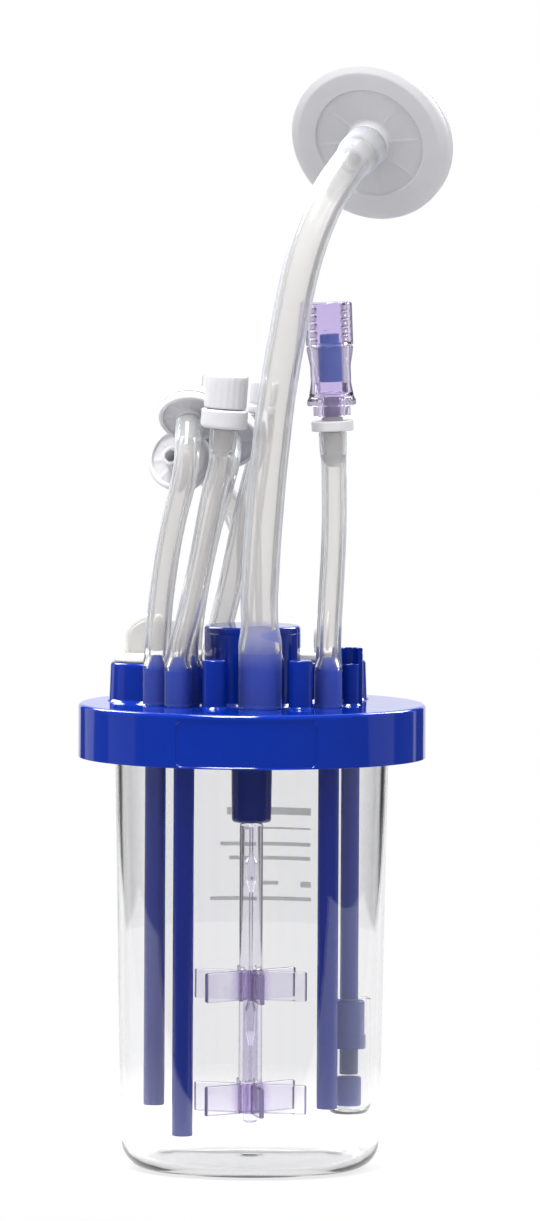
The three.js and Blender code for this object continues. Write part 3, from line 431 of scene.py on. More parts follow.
def finish(name):
    """An empty material and its node tree, or the material already made under that name."""
    material = bpy.data.materials.get(name)
    if material is not None:
        return material, None
    material = bpy.data.materials.new(name)
    material.use_nodes = True
    material.node_tree.nodes.clear()
    return material, material.node_tree


def colours():
    """The scene's colour properties."""
    return bpy.context.scene.bioreactor_colours


def sizes():
    """The scene's size properties."""
    return bpy.context.scene.bioreactor_sizes


def moulded_blue():
    """Glossy moulded polycarbonate: deep blue, smooth, with the slow waviness of a thick moulding."""
    material, tree = finish("moulded_blue_polycarbonate")
    if tree is None:
        return material
    place = add(tree, "TexCoord").outputs["Object"]
    # Sink marks: soft waves about 12 mm long.
    wave = add(tree, "TexNoise", {"Vector": place, "Scale": 80.0, "Detail": 1.0, "Roughness": 0.4})
    # Handling haze: patches about 4 mm across.
    haze = add(tree, "TexNoise", {"Vector": place, "Scale": 260.0, "Detail": 4.0, "Roughness": 0.6})
    rough = add(
        tree, "MapRange", {"Value": haze, "From Min": 0.3, "From Max": 0.75, "To Min": 0.03, "To Max": 0.07}
    )
    bump = add(tree, "Bump", {"Height": wave, "Strength": 0.08, "Distance": 0.0012})
    blue = colours().lid
    tone = add(tree, "Mix", {"Factor": haze, "A": shade(blue), "B": shade(blue, 0.86)}, data_type="RGBA")
    shader = add(
        tree, "BsdfPrincipled", {"Base Color": tone, "Roughness": rough, "IOR": 1.58, "Normal": bump}
    )
    add(tree, "OutputMaterial", {"Surface": shader})
    return material


def painted_light_blue():
    """Blue polycarbonate that shows through clear plastic, painted a lighter blue without gloss of its own:
    painted light for the light that reaches it through the clear hoses and cup.
    """
    return milky("painted_light_blue_polycarbonate", linear("0e54f0"), 0.0, 0.45, 0.6)


def extruded_blue():
    """Extruded polypropylene tube: satin blue with fine lines drawn along it."""
    material, tree = finish("extruded_blue_polypropylene")
    if tree is None:
        return material
    place = add(tree, "TexCoord").outputs["Object"]
    # Die lines: 0.4 mm apart round the tube, long along it.
    lines = add(tree, "Mapping", {"Vector": place, "Scale": (2500.0, 2500.0, 30.0)})
    draw = add(tree, "TexNoise", {"Vector": lines, "Scale": 1.0, "Detail": 2.0})
    rough = add(tree, "MapRange", {"Value": draw, "To Min": 0.10, "To Max": 0.20})
    blue = colours().tubes
    tone = add(tree, "Mix", {"Factor": draw, "A": shade(blue), "B": shade(blue, 0.8)}, data_type="RGBA")
    bump = add(tree, "Bump", {"Height": draw, "Strength": 0.12, "Distance": 0.0001})
    shader = add(
        tree, "BsdfPrincipled", {"Base Color": tone, "Roughness": rough, "IOR": 1.49, "Normal": bump}
    )
    add(tree, "OutputMaterial", {"Surface": shader})
    return material


def clear_jar_plastic(name="clear_moulded_polycarbonate", gloss=0.5):
    """Clear moulded polycarbonate: see-through, with faint flow waves from the moulding."""
    material, tree = finish(name)
    if tree is None:
        return material
    place = add(tree, "TexCoord").outputs["Object"]
    # Flow waves: about 15 mm apart, drawn out along the jar.
    stretch = add(tree, "Mapping", {"Vector": place, "Scale": (70.0, 70.0, 18.0)})
    wave = add(tree, "TexNoise", {"Vector": stretch, "Scale": 1.0, "Detail": 2.0})
    bump = add(tree, "Bump", {"Height": wave, "Strength": 0.05, "Distance": 0.001})
    # Painted shade: where the wall is seen edge on, its colour turns grey, standing in for the dark
    # reflections at the jar's edges.
    edge = add(tree, "LayerWeight", {"Blend": 0.5})
    rim = add(tree, "Math", {0: edge.outputs["Facing"], 1: 5.0}, operation="POWER")
    tint, grey = (0.962, 0.962, 0.969, 1.0), (0.55, 0.55, 0.58, 1.0)
    tone = add(tree, "Mix", {"Factor": rim, "A": tint, "B": grey}, data_type="RGBA")
    shader = add(
        tree, "BsdfPrincipled",
        {
            "Base Color": tone, "Roughness": 0.0, "IOR": 1.5, "Specular IOR Level": gloss,
            "Transmission Weight": 1.0, "Normal": bump,
        },
    )
    add(tree, "OutputMaterial", {"Surface": shader})
    return material


def clear_violet(name="clear_violet_polycarbonate", reach=None, tint=None):
    """Clear violet-tinted polycarbonate: nearly colourless where thin, deeper violet at its edges, partly the
    tint seen through more plastic and partly painted shade.

    With a reach, in metres, a moulding round the stirrer's axis lets light straight through its hub and is
    paler on the ground ends beyond that reach. A tint takes the place of the stirrer's own.
    """
    material, tree = finish(name)
    if tree is None:
        return material
    place = add(tree, "TexCoord").outputs["Object"]
    cloud = add(tree, "TexNoise", {"Vector": place, "Scale": 300.0, "Detail": 3.0})
    rough = add(tree, "MapRange", {"Value": cloud, "To Min": 0.0, "To Max": 0.06})
    # Painted shade: toward the edges the colour deepens to violet and a darker matt violet is mixed in,
    # standing in for dark edge reflections as well as the tint's own depth.
    edge = add(tree, "LayerWeight", {"Blend": 0.35})
    rim = add(tree, "Math", {0: edge.outputs["Facing"], 1: 3.5}, operation="POWER")
    violet = colours().violet
    tone = add(
        tree, "Mix", {"Factor": rim, "A": shade(tint or colours().lavender), "B": shade(violet)},
        data_type="RGBA",
    )
    shader = add(
        tree, "BsdfPrincipled",
        {"Base Color": tone, "Roughness": rough, "IOR": 1.45, "Transmission Weight": 1.0},
    )
    body = add(tree, "BsdfDiffuse", {"Color": shade(violet, 0.55)})
    share = add(tree, "Math", {0: rim, 1: 0.85}, operation="MULTIPLY")
    mixed = add(tree, "MixShader", {0: share, 1: shader, 2: body})
    if reach:
        level = add(tree, "VectorMath", {0: place, 1: (1, 1, 0)}, operation="MULTIPLY")
        out = add(tree, "VectorMath", {0: level}, operation="LENGTH")
        hub = add(
            tree, "MapRange",
            {"Value": out, "From Min": 0.003, "From Max": 0.006, "To Min": 0.45, "To Max": 0.0},
        )
        glow = add(tree, "BsdfTransparent", {"Color": shade(linear("e2d6f2"))})
        mixed = add(tree, "MixShader", {0: hub, 1: mixed, 2: glow})
        end = add(
            tree, "MapRange", {"Value": out, "From Min": reach, "From Max": reach + 1e-4, "To Max": 0.75}
        )
        ground = add(tree, "BsdfDiffuse", {"Color": shade(linear("cdbcf2"))})
        mixed = add(tree, "MixShader", {0: end, 1: mixed, 2: ground})
    add(tree, "OutputMaterial", {"Surface": mixed})
    return material


def soft_hose():
    """Clear elastomer hose: see-through, with a faint milky body and a slightly uneven gloss."""
    material, tree = finish("clear_elastomer_hose")
    if tree is None:
        return material
    place = add(tree, "TexCoord").outputs["Object"]
    cloud = add(tree, "TexNoise", {"Vector": place, "Scale": 220.0, "Detail": 3.0})
    rough = add(tree, "MapRange", {"Value": cloud, "To Min": 0.06, "To Max": 0.14})
    clear = add(
        tree, "BsdfPrincipled",
        {"Base Color": shade(colours().hose), "Roughness": rough, "IOR": 1.41, "Transmission Weight": 1.0},
    )
    # The milk gathers at the hose's edges, where the eye looks along the wall, and is a little blue there.
    edge = add(tree, "LayerWeight", {"Blend": 0.4})
    share = add(
        tree, "MapRange",
        {"Value": edge.outputs["Facing"], "From Min": 0.35, "From Max": 0.95, "To Min": 0.19, "To Max": 0.6},
    )
    # Stretched over the lid's barbs the hose is clearer: the milk comes in over 10 mm above them.
    height = add(tree, "SeparateXYZ", {0: place})
    free = add(
        tree, "MapRange",
        {"Value": height.outputs["Z"], "From Min": 0.128, "From Max": 0.138, "To Min": 0.15, "To Max": 1.0},
    )
    share = add(tree, "Math", {0: share, 1: free}, operation="MULTIPLY")
    tone = add(
        tree, "Mix",
        {"Factor": edge.outputs["Facing"], "A": (0.94, 0.92, 0.90, 1.0), "B": (0.72, 0.79, 0.93, 1.0)},
        data_type="RGBA",
    )
    milk = add(tree, "BsdfDiffuse", {"Color": tone})
    mixed = add(tree, "MixShader", {0: share, 1: clear, 2: milk})
    add(tree, "OutputMaterial", {"Surface": mixed})
    return material


def milky(name, tone, through, rough_from, rough_to, clear=0.0):
    """Milky moulding with a faintly grained skin, waxy or matt.

    through is the share of its look that is light from behind, and clear the share that passes each wall
    unchanged.
    """
    material, tree = finish(name)
    if tree is None:
        return material
    place = add(tree, "TexCoord").outputs["Object"]
    # Tool grain: about 0.35 mm, drawn a little coarser than real so that it shows.
    grain = add(tree, "TexNoise", {"Vector": place, "Scale": 2800.0, "Detail": 2.0})
    cloud = add(tree, "TexNoise", {"Vector": place, "Scale": 160.0, "Detail": 3.0})
    mixed = add(tree, "Mix", {"Factor": cloud, "A": shade(tone), "B": shade(tone, 0.93)}, data_type="RGBA")
    rough = add(tree, "MapRange", {"Value": cloud, "To Min": rough_from, "To Max": rough_to})
    bump = add(tree, "Bump", {"Height": grain, "Strength": 0.12, "Distance": 0.0001})
    skin = add(
        tree, "BsdfPrincipled",
        {
            "Base Color": mixed, "Roughness": rough, "IOR": 1.5, "Subsurface Weight": 0.4,
            "Subsurface Scale": 0.002, "Subsurface Radius": (1.0, 1.0, 1.0), "Normal": bump,
        },
    )
    # Light that comes through from behind.
    glow = add(tree, "BsdfTranslucent", {"Color": mixed})
    both = add(tree, "MixShader", {0: through, 1: skin, 2: glow})
    if clear:
        straight_on = add(tree, "BsdfTransparent")
        both = add(tree, "MixShader", {0: clear, 1: both, 2: straight_on})
    add(tree, "OutputMaterial", {"Surface": both})
    return material


def filter_white():
    """Translucent polypropylene of the filters and adapters."""
    return milky("translucent_white_polypropylene", colours().white, 0.08, 0.3, 0.45, 0.1)


def plug_white():
    """Low-density polyethylene of the port plugs."""
    return milky("waxy_white_polyethylene", colours().plug, 0.08, 0.28, 0.4)


def acetal():
    """Acetal: matt white bearing bushes."""
    return milky("white_acetal", linear("e8e8e4"), 0.05, 0.35, 0.5)


def membrane_film():
    """Porous fluoropolymer film: matt paper white."""
    return milky("porous_white_film", linear("f2f2f0"), 0.2, 0.8, 0.9)


def plated_magnet():
    """Nickel-plated magnet: bright metal with a faint satin grain from barrel finishing."""
    material, tree = finish("nickel_plated_magnet")
    if tree is None:
        return material
    place = add(tree, "TexCoord").outputs["Object"]
    # Barrel marks: about 0.8 mm apart.
    grain = add(tree, "TexNoise", {"Vector": place, "Scale": 1250.0, "Detail": 3.0})
    rough = add(tree, "MapRange", {"Value": grain, "To Min": 0.2, "To Max": 0.4})
    bump = add(tree, "Bump", {"Height": grain, "Strength": 0.1, "Distance": 0.0001})
    shader = add(
        tree, "BsdfPrincipled",
        {"Base Color": shade(linear("b9bcc0")), "Metallic": 1.0, "Roughness": rough, "Normal": bump},
    )
    add(tree, "OutputMaterial", {"Surface": shader})
    return material


def silicone_grey():
    """Silicone seal: soft matt grey."""
    return milky("grey_silicone", linear("bfc1c4"), 0.1, 0.5, 0.65)


def piston_blue():
    """Blue silicone of the valve's piston: matt."""
    return milky("blue_silicone", colours().piston, 0.15, 0.4, 0.5)


def label_film():
    """Clear polyester film, laid on the jar."""
    material, tree = finish("clear_polyester_film")
    if tree is None:
        return material
    place = add(tree, "TexCoord").outputs["Object"]
    cloud = add(tree, "TexNoise", {"Vector": place, "Scale": 120.0, "Detail": 3.0})
    rough = add(tree, "MapRange", {"Value": cloud, "To Min": 0.05, "To Max": 0.15})
    clear = add(
        tree, "BsdfPrincipled",
        {
            "Base Color": WHITE, "Roughness": rough, "IOR": 1.5, "Specular IOR Level": 0.2,
            "Transmission Weight": 1.0,
        },
    )
    add(tree, "OutputMaterial", {"Surface": clear})
    return material


def print_grey():
    """Grey screen print on the film: matt ink with slightly uneven cover."""
    return milky("grey_screen_print", linear("e4e5e8"), 0.3, 0.6, 0.7)


# ------------------------------------------------------------------ pieces


# The camera, in metres: a long lens in front of the jar, a little above the height of its lid.
CAMERA_PLACE = (0.0044, -3.0, 0.336)
CAMERA_AIM = (0.0044, 0.0, 0.1415)
LENS_MM, SENSOR_MM, ROLL_DEGREES = 350.2, 36.0, 0.3


class BIOREACTOR_OT_stage(bpy.types.Operator):
    """Camera, pale floor, studio world and lamps"""

    bl_idname = "bioreactor.stage"
    bl_label = "Stage"

    def execute(self, context):
        scene = context.scene
        scene.view_settings.view_transform = "Standard"
        self.camera(scene)
        self.world(scene)
        self.floor(scene)
        self.lamps(scene)
        return {"FINISHED"}

    def camera(self, scene):
        """The camera, turned a little about its own line of sight."""
        data = bpy.data.cameras.new("camera")
        data.lens, data.sensor_width = LENS_MM, SENSOR_MM
        data.clip_start, data.clip_end = 0.1, 50.0
        camera = bpy.data.objects.new("camera", data)
        camera.location = CAMERA_PLACE
        aim = Vector(CAMERA_AIM) - camera.location
        turn = aim.to_track_quat("-Z", "Y")
        camera.rotation_mode = "QUATERNION"
        camera.rotation_quaternion = turn @ Euler((0, 0, math.radians(ROLL_DEGREES))).to_quaternion()
        scene.collection.objects.link(camera)
        scene.camera = camera

    def world(self, scene):
        """A white backdrop in a dim room, with tall soft boxes at both its sides and one overhead.

        What gloss and clear plastic see depends on the bearing from the backdrop's middle and on the height
        above the horizon. The camera sees white all round, and matt surfaces are lit evenly.
        """
        world = bpy.data.worlds.new("studio")
        scene.world = world
        world.use_nodes = True
        tree = world.node_tree
        tree.nodes.clear()
        direction = add(tree, "SeparateXYZ", {0: add(tree, "TexCoord").outputs["Generated"]})
        x, y, z = (direction.outputs[axis] for axis in "XYZ")
        dim_ceiling, overhead, lit_wall, even_light = 0.15, 28.0, 0.62, 0.92
        turn = add(tree, "Math", {0: x, 1: y}, operation="ARCTAN2")
        bearing = add(tree, "MapRange", {"Value": turn, "From Min": -math.pi, "From Max": math.pi})
        low_wall = self.ramp(
            tree, bearing,
            (
                (-180, 0.10), (-110, 0.12), (-97, 0.12), (-95, 0.32), (-70, 0.32), (-68, 0.1), (-51, 0.10),
                (-49, 0.55), (-34, 0.55), (-32, 0.06), (-21, 0.06), (-19, 1.0), (19, 1.0), (21, 0.06),
                (39, 0.06), (40, 0.7), (44, 0.7), (45, 0.1), (70, 0.10), (72, 0.4), (95, 0.4), (97, 0.12),
                (120, 0.14), (180, 0.10),
            ),
        )
        high_wall = self.ramp(
            tree, bearing,
            (
                (-180, 0.12), (-60, 0.12), (-54, 0.2), (-51, 16), (-30, 16), (-28, 0.3), (-20, 0.8),
                (20, 0.8), (31, 0.3), (34, 16), (52, 16), (56, 0.2), (180, 0.12),
            ),
        )
        height = add(
            tree, "MapRange", {"Value": z, "From Min": 0.34, "From Max": 0.44},
            interpolation_type="SMOOTHSTEP",
        )
        ceiling = add(
            tree, "MapRange", {"Value": z, "From Min": 0.72, "From Max": 0.78},
            interpolation_type="SMOOTHSTEP",
        )
        above = self.box(tree, x, y)
        wall = add(tree, "Mix", {"Factor": height, "A": low_wall, "B": high_wall}, data_type="FLOAT")
        top = add(tree, "Mix", {"Factor": above, "A": dim_ceiling, "B": overhead}, data_type="FLOAT")
        room = add(tree, "Mix", {"Factor": ceiling, "A": wall, "B": top}, data_type="FLOAT")
        rays = add(tree, "LightPath").outputs
        # Light on matt surfaces is even, also where it reaches them through clear plastic.
        matt = add(
            tree, "Math", {0: rays["Is Diffuse Ray"], 1: rays["Diffuse Depth"]}, operation="MAXIMUM",
            use_clamp=True,
        )
        # What is seen through clear plastic, behind the jar, is never darker than the studio's lit walls.
        back_wall = self.ramp(
            tree, bearing, ((-180, 0.0), (-95, 0.0), (-75, lit_wall), (75, lit_wall), (95, 0.0), (180, 0.0))
        )
        above_floor = add(
            tree, "MapRange", {"Value": z, "From Min": -0.085, "From Max": -0.07},
            interpolation_type="SMOOTHSTEP",
        )
        back_wall = add(tree, "Math", {0: back_wall, 1: above_floor}, operation="MULTIPLY")
        upper = add(
            tree, "MapRange", {"Value": z, "From Min": 0.03, "From Max": 0.15, "To Min": 0.0, "To Max": 0.5},
            interpolation_type="SMOOTHSTEP",
        )
        lit = add(tree, "Math", {0: back_wall, 1: upper}, operation="MAXIMUM")
        lit = add(tree, "Math", {0: rays["Is Transmission Ray"], 1: lit}, operation="MULTIPLY")
        room = add(tree, "Math", {0: room, 1: lit}, operation="MAXIMUM")
        seen = add(tree, "Mix", {"Factor": matt, "A": room, "B": even_light}, data_type="FLOAT")
        level = add(tree, "Mix", {"Factor": rays["Is Camera Ray"], "A": seen, "B": 1.0}, data_type="FLOAT")
        sky = add(tree, "Background", {"Color": WHITE, "Strength": level})
        add(tree, "OutputWorld", {"Surface": sky})

    def ramp(self, tree, bearing, stops):
        """Brightness against the bearing in degrees from the backdrop's middle, as a float curve."""
        curve = add(tree, "FloatCurve", {"Value": bearing})
        points = curve.mapping.curves[0].points
        brightest = 20
        places = [((angle + 180) / 360, level / brightest) for angle, level in stops]
        points[0].location, points[1].location = places[0], places[-1]
        for place in places[1:-1]:
            points.new(*place)
        for point in points:
            point.handle_type = "VECTOR"
        curve.mapping.update()
        return add(tree, "Math", {0: curve, 1: brightest}, operation="MULTIPLY")

    def box(self, tree, x, y):
        """One inside the soft box overhead, and nothing outside it."""
        inside, soft_edge = 1.0, 0.04
        for along, middle, half in ((x, -0.145, 0.145), (y, -0.12, 0.34)):
            off = add(tree, "Math", {0: along, 1: middle}, operation="SUBTRACT")
            away = add(tree, "Math", {0: off}, operation="ABSOLUTE")
            near = add(
                tree, "MapRange",
                {"Value": away, "From Min": half, "From Max": half + soft_edge, "To Min": 1.0, "To Max": 0.0},
            )
            inside = add(tree, "Math", {0: inside, 1: near}, operation="MULTIPLY")
        return inside

    def floor(self, scene):
        """A pale sheet that catches the shadow under the jar: wide at its sides, a narrow sweep behind."""
        mesh = bpy.data.meshes.new("floor")
        outline = [(0.08, -0.12), (0.55, -0.2), (0.6, 0.25), (0.4, 0.4), (0.4, 3.0)]
        outline += [(-0.4, 3.0), (-0.4, 0.4), (-0.62, 0.25), (-0.5, -0.03), (-0.1, -0.1)]
        mesh.from_pydata([(x, y, 0) for x, y in outline], [], [tuple(range(len(outline)))])
        floor = bpy.data.objects.new("floor", mesh)
        floor.location.z = -0.0002
        scene.collection.objects.link(floor)
        material, tree = finish("pale_matt_sheet")
        rays = add(tree, "LightPath").outputs
        seen = add(tree, "Math", {0: rays["Is Camera Ray"], 1: rays["Is Glossy Ray"]}, operation="MAXIMUM")
        seen = add(tree, "Math", {0: seen, 1: rays["Is Transmission Ray"]}, operation="MAXIMUM")
        place = add(tree, "TexCoord").outputs["Object"]
        reach = add(tree, "VectorMath", {0: place}, operation="LENGTH")
        # The sheet's own shading shows only near the jar, so that it meets the backdrop without a line.
        far = add(
            tree, "MapRange",
            {"Value": reach, "From Min": 0.06, "From Max": 0.25, "To Min": 0.75, "To Max": 1.0},
        )
        share = add(tree, "Math", {0: seen, 1: far}, operation="MULTIPLY")
        sheet = add(tree, "BsdfDiffuse", {"Color": (0.95, 0.95, 0.95, 1.0)})
        glow = add(tree, "Emission", {"Color": WHITE, "Strength": 1.0})
        both = add(tree, "MixShader", {0: share, 1: sheet, 2: glow})
        add(tree, "OutputMaterial", {"Surface": both})
        mesh.materials.append(material)

    def lamps(self, scene):
        """Soft fill from the left, the right and above, for matt surfaces."""
        for name, place, wide, tall, power in (
            ("left_fill", (-1.4, -1.4, 0.9), 0.9, 1.2, 3.5), ("right_fill", (1.4, -1.2, 0.9), 0.9, 1.2, 2.0),
            ("top_fill", (0.0, -0.3, 1.8), 1.0, 1.0, 1.5),
        ):
            data = bpy.data.lights.new(name, "AREA")
            data.shape = "RECTANGLE"
            data.size, data.size_y = wide, tall
            data.energy = power
            lamp = bpy.data.objects.new(name, data)
            lamp.location = place
            aim = Vector((0, 0, 0.12)) - lamp.location
            lamp.rotation_mode = "QUATERNION"
            lamp.rotation_quaternion = aim.to_track_quat("-Z", "Y")
            lamp.visible_glossy = False
            lamp.visible_transmission = False
            scene.collection.objects.link(lamp)


def hose_profile(total, outer, bore, flare, foot, top):
    """Closed wall section of a hose pushed over a barb at both ends.

    foot and top are (distance, radius) points of the bore where it hugs a barb, counted from each end. The
    outside swells to flare over the barbs, in smooth steps.
    """
    s = np.linspace(0, total, 200)
    foot, top = np.array(foot, float), np.array(top, float)
    past_foot, foot_run, past_top, top_run = 2.5, 6.0, 1.5, 5.0
    near = np.clip((foot[-1, 0] + past_foot - s) / foot_run, 0, 1)
    far = np.clip((s - total + top[-1, 0] + past_top) / top_run, 0, 1)
    swell = np.maximum(near, far)
    swell = swell * swell * (3 - 2 * swell)
    outside = outer + (flare - outer) * swell
    hugged = np.interp(s, foot[:, 0], foot[:, 1], right=bore)
    hugged_far = np.interp(total - s, top[:, 0], top[:, 1], right=bore)
    inside = np.maximum(hugged, hugged_far)
    return np.concatenate([np.stack([outside, s], 1), np.stack([inside, s], 1)[::-1]])


class BIOREACTOR_OT_hoses(bpy.types.Operator):
    """Small feed and sampling hoses and the large vent hose"""

    bl_idname = "bioreactor.hoses"
    bl_label = "Hoses"

    def execute(self, context):
        size = sizes()
        small, small_bore = size.small_hose / MM / 2, size.small_bore / MM / 2
        large, large_bore = size.large_hose / MM / 2, size.large_bore / MM / 2
        near = ((0.0, 2.36), (9.2, 2.36), (9.6, 2.55), (12.2, small_bore))
        far = ((0.0, 2.5), (5.2, 2.5), (6.6, small_bore))
        routes = [(f"feed_hose_{i}", route) for i, route in enumerate(FEED_ROUTES, 1)]
        for node, route in routes + [("sample_hose", SAMPLE_ROUTE)]:
            path = smooth_path(route)
            wall = hose_profile(path_length(path), small, small_bore, 3.5, near, far)
            piece(f"{node}_wall", [turned(path, wall, 48)], soft_hose(), node)
        path = smooth_path(VENT_ROUTE)
        near = ((0.0, 3.86), (13.9, 3.9), (14.3, 4.15), (18.8, large_bore))
        far = ((0.0, 4.1), (7.2, 4.1), (9.2, large_bore))
        wall = hose_profile(path_length(path), large, large_bore, 5.5, near, far)
        piece("vent_hose_wall", [turned(path, wall, 64)], soft_hose(), "vent_hose")
        return {"FINISHED"}


class BIOREACTOR_OT_jar(bpy.types.Operator):
    """Clear jar with its foot ring, pip and mouth flange"""

    bl_idname = "bioreactor.jar"
    bl_label = "Jar"

    def execute(self, context):
        size = sizes()
        foot, mouth, wall = size.jar_foot_radius / MM, size.jar_mouth_radius / MM, size.jar_wall / MM
        flange_foot = JAR_TOP - 3.6
        flange = high("vessel")[0]
        floor, heel_radius, hollow_radius = 2.0, 7, 5.3
        turn = np.linspace(0, math.pi / 2, 16)
        heel = [
            (foot - heel_radius + heel_radius * math.sin(t), heel_radius - heel_radius * math.cos(t), 0)
            for t in turn
        ]
        inside = foot - wall - hollow_radius
        rise = floor + hollow_radius
        hollow = [
            (inside + hollow_radius * math.sin(t), rise - hollow_radius * math.cos(t), 0) for t in turn[::-1]
        ]
        profile = rounded(
            (0, 0.35, 0), (20.0, 0.35, 4.0), (24.0, 0.0, 3.0), *heel, (mouth, flange_foot - 1.0, 0.6),
            (mouth + 1.0, flange_foot, 0.4), (flange, flange_foot, 0.4), (flange, JAR_TOP, 0.4),
            (mouth - wall, JAR_TOP, 0.3), *hollow, (3.4, floor, 0.6), (2.6, 2.7, 0.4), (0, 2.7, 0), steps=9,
        )
        piece("jar", [turned(upright(), profile, 192)], clear_jar_plastic(), "vessel")
        return {"FINISHED"}


def barb_profile(shank, ridge, tip, bore, length_of, foot=0.0):
    """Closed section of a hose barb that rises from foot: shank, one ridge, tapered tip, bore."""
    return rounded(
        (bore, foot - 1.0, 0), (shank + 0.5, foot - 1.0, 0), (shank + 0.5, foot, 0), (shank, foot + 0.7, 0.5),
        (shank, foot + length_of * 0.66, 0.1), (ridge, foot + length_of * 0.72, 0.15),
        (tip, foot + length_of, 0.3), (bore, foot + length_of, 0.2),
    )


class BIOREACTOR_OT_lid(bpy.types.Operator):
    """Blue moulded lid with its sockets, bosses, posts, barbs and bearing housing"""

    bl_idname = "bioreactor.lid"
    bl_label = "Lid"

    def execute(self, context):
        size = sizes()
        outer, edge = size.lid_radius / MM, size.lid_edge / MM
        skirt, bead, hub, hub_inside, housing = 41.3, 40.2, 12.2, 10.6, 3.3
        groove, groove_foot = (31.25, 32.55), LID_TOP - 8.8
        rows = np.linspace(LID_FOOT + 0.15, LID_TOP - edge - 0.1, 96)
        wall = [(outer, z, 0) for z in rows]
        profile = rounded(
            (housing, HOUSING_FOOT, 0.3), (5.0, HOUSING_FOOT, 1.0), (5.35, LID_ROOF, 0.8),
            (groove[0], LID_ROOF, 0.3), (groove[0], groove_foot, 0.3), (groove[1], groove_foot, 0.3),
            (groove[1], LID_ROOF, 0.3), (skirt, LID_ROOF, 0.5), (skirt, 108.3, 0.1), (bead, 108.3, 0.3),
            (bead, 107.3, 0.3), (skirt, 106.2, 0.3), (skirt, LID_FOOT, 0.2), (outer, LID_FOOT, 0.12), *wall,
            (outer, LID_TOP, edge), (12.8, LID_TOP, 0.0), (hub, LID_TOP + 0.6, 0.6),
            (hub, HUB_CAP_FOOT - 0.05, 0.1), (hub_inside, HUB_CAP_FOOT - 0.05, 0.1),
            (hub_inside, LID_TOP + 1.2, 0.4), (3.9, LID_TOP + 1.2, 0.3), (3.9, HOUSING_FOOT + 1.7, 0.1),
            (housing, HOUSING_FOOT + 1.7, 0.1), steps=6,
        )
        depth = size.panel_depth / MM
        middle, wide, tall, corner, step = (-1.4, 110.5), 17.7, 5.75, 1.6, 0.12

        def panel(radius, distance, angle):
            """Sinks the rim where a rounded rectangle, seen from the front, covers it."""
            x, z = radius * np.cos(angle), distance
            away = np.maximum(np.abs(x - middle[0]) - wide + corner, 0) ** 2
            away = np.sqrt(away + np.maximum(np.abs(z - middle[1]) - tall + corner, 0) ** 2) - corner
            sunk = np.clip(0.5 - away / (2 * step), 0, 1)
            front = (np.sin(angle) < 0) & (radius > outer - 0.01)
            return radius - np.where(front, depth * sunk * sunk * (3 - 2 * sunk), 0), distance

        sides = [math.acos((middle[0] + s * (wide - 0.7)) / outer) for s in (-1, 1)]
        fine = [2 * math.pi - a + np.linspace(-1.3, 1.3, 40) / outer for a in sides]
        angles = np.unique(np.concatenate([np.linspace(0, 2 * math.pi, 288, endpoint=False), *fine]))
        grids = [turned(upright(), profile, shape=panel, angles=angles)]
        boss = rounded(
            (7.0, 112.9, 0), (12.0, 112.9, 0), (12.0, LID_TOP, 0), (11.4, LID_TOP + 0.6, 0.5),
            (11.05, BOSS_TOP, 0.9), (8.5, BOSS_TOP, 0.5), (8.5, LID_TOP + 1.5, 0.3),
            (7.0, LID_TOP + 1.5, 0.3),
        )
        grids += [turned(upright(at), boss, 112) for at in (LEFT_BOSS, RIGHT_BOSS)]
        post = rounded(
            (0, 116.9, 0), (3.6, 116.9, 0), (3.6, LID_TOP, 0), (3.05, LID_TOP + 0.5, 0.4), (3.05, 130.3, 0.5),
            (0, 130.3, 0),
        )
        grids += [turned(upright(at), post, 64) for at in POSTS]
        small = barb_profile(2.42, 2.46, 1.3, 0.9, 12.6, LID_TOP)
        barbs = [turned(upright(at), small, 48) for at in SMALL_BARBS]
        large = barb_profile(3.94, 4.0, 3.0, 1.9, 20.6, LID_TOP)
        barbs.append(turned(upright(LARGE_BARB), large, 64))
        # Painted light: the barbs are the lid's own blue moulding, drawn in a lighter blue for the light that
        # reaches them through the hoses.
        piece("lid_barbs", barbs, painted_light_blue(), "head_plate", sharp=32)
        port = rounded(
            (1.6, 116.9, 0), (3.0, 116.9, 0), (3.0, LID_TOP, 0), (2.45, LID_TOP + 0.5, 0.4),
            (2.45, 128.5, 0.3), (1.6, 128.5, 0.2),
        )
        grids.append(turned(upright(SENSOR), port, 48))
        guard = rounded((1.95, 116.9, 0), (3.1, 116.9, 0), (3.1, 132.5, 0.35), (1.95, 132.5, 0.3))
        half = np.linspace(-0.13, math.pi + 0.13, 40)
        grids.append(half_ring(upright(SENSOR), guard, half))
        piece("lid", grids, moulded_blue(), "head_plate", sharp=32)
        cap = rounded(
            (0, HUB_CAP_FOOT - 1.5, 0), (10.3, HUB_CAP_FOOT - 1.5, 0.3), (10.3, HUB_CAP_FOOT, 0.1),
            (hub, HUB_CAP_FOOT, 0.1), (hub, HUB_TOP, 1.3), (0, HUB_TOP, 0), steps=10,
        )
        piece("hub_lid", [turned(upright(), cap, 192)], moulded_blue(), "hub_cap")
        return {"FINISHED"}


def half_ring(path, profile, angles):
    """A profile carried part of the way round a path, with its two cut ends closed on their middles."""
    grid = turned(path, profile, angles=angles)
    first = np.broadcast_to(grid[:, :1].mean(0, keepdims=True), grid[:, :1].shape)
    last = np.broadcast_to(grid[:, -1:].mean(0, keepdims=True), grid[:, -1:].shape)
    return np.concatenate([first, grid, last], 1)


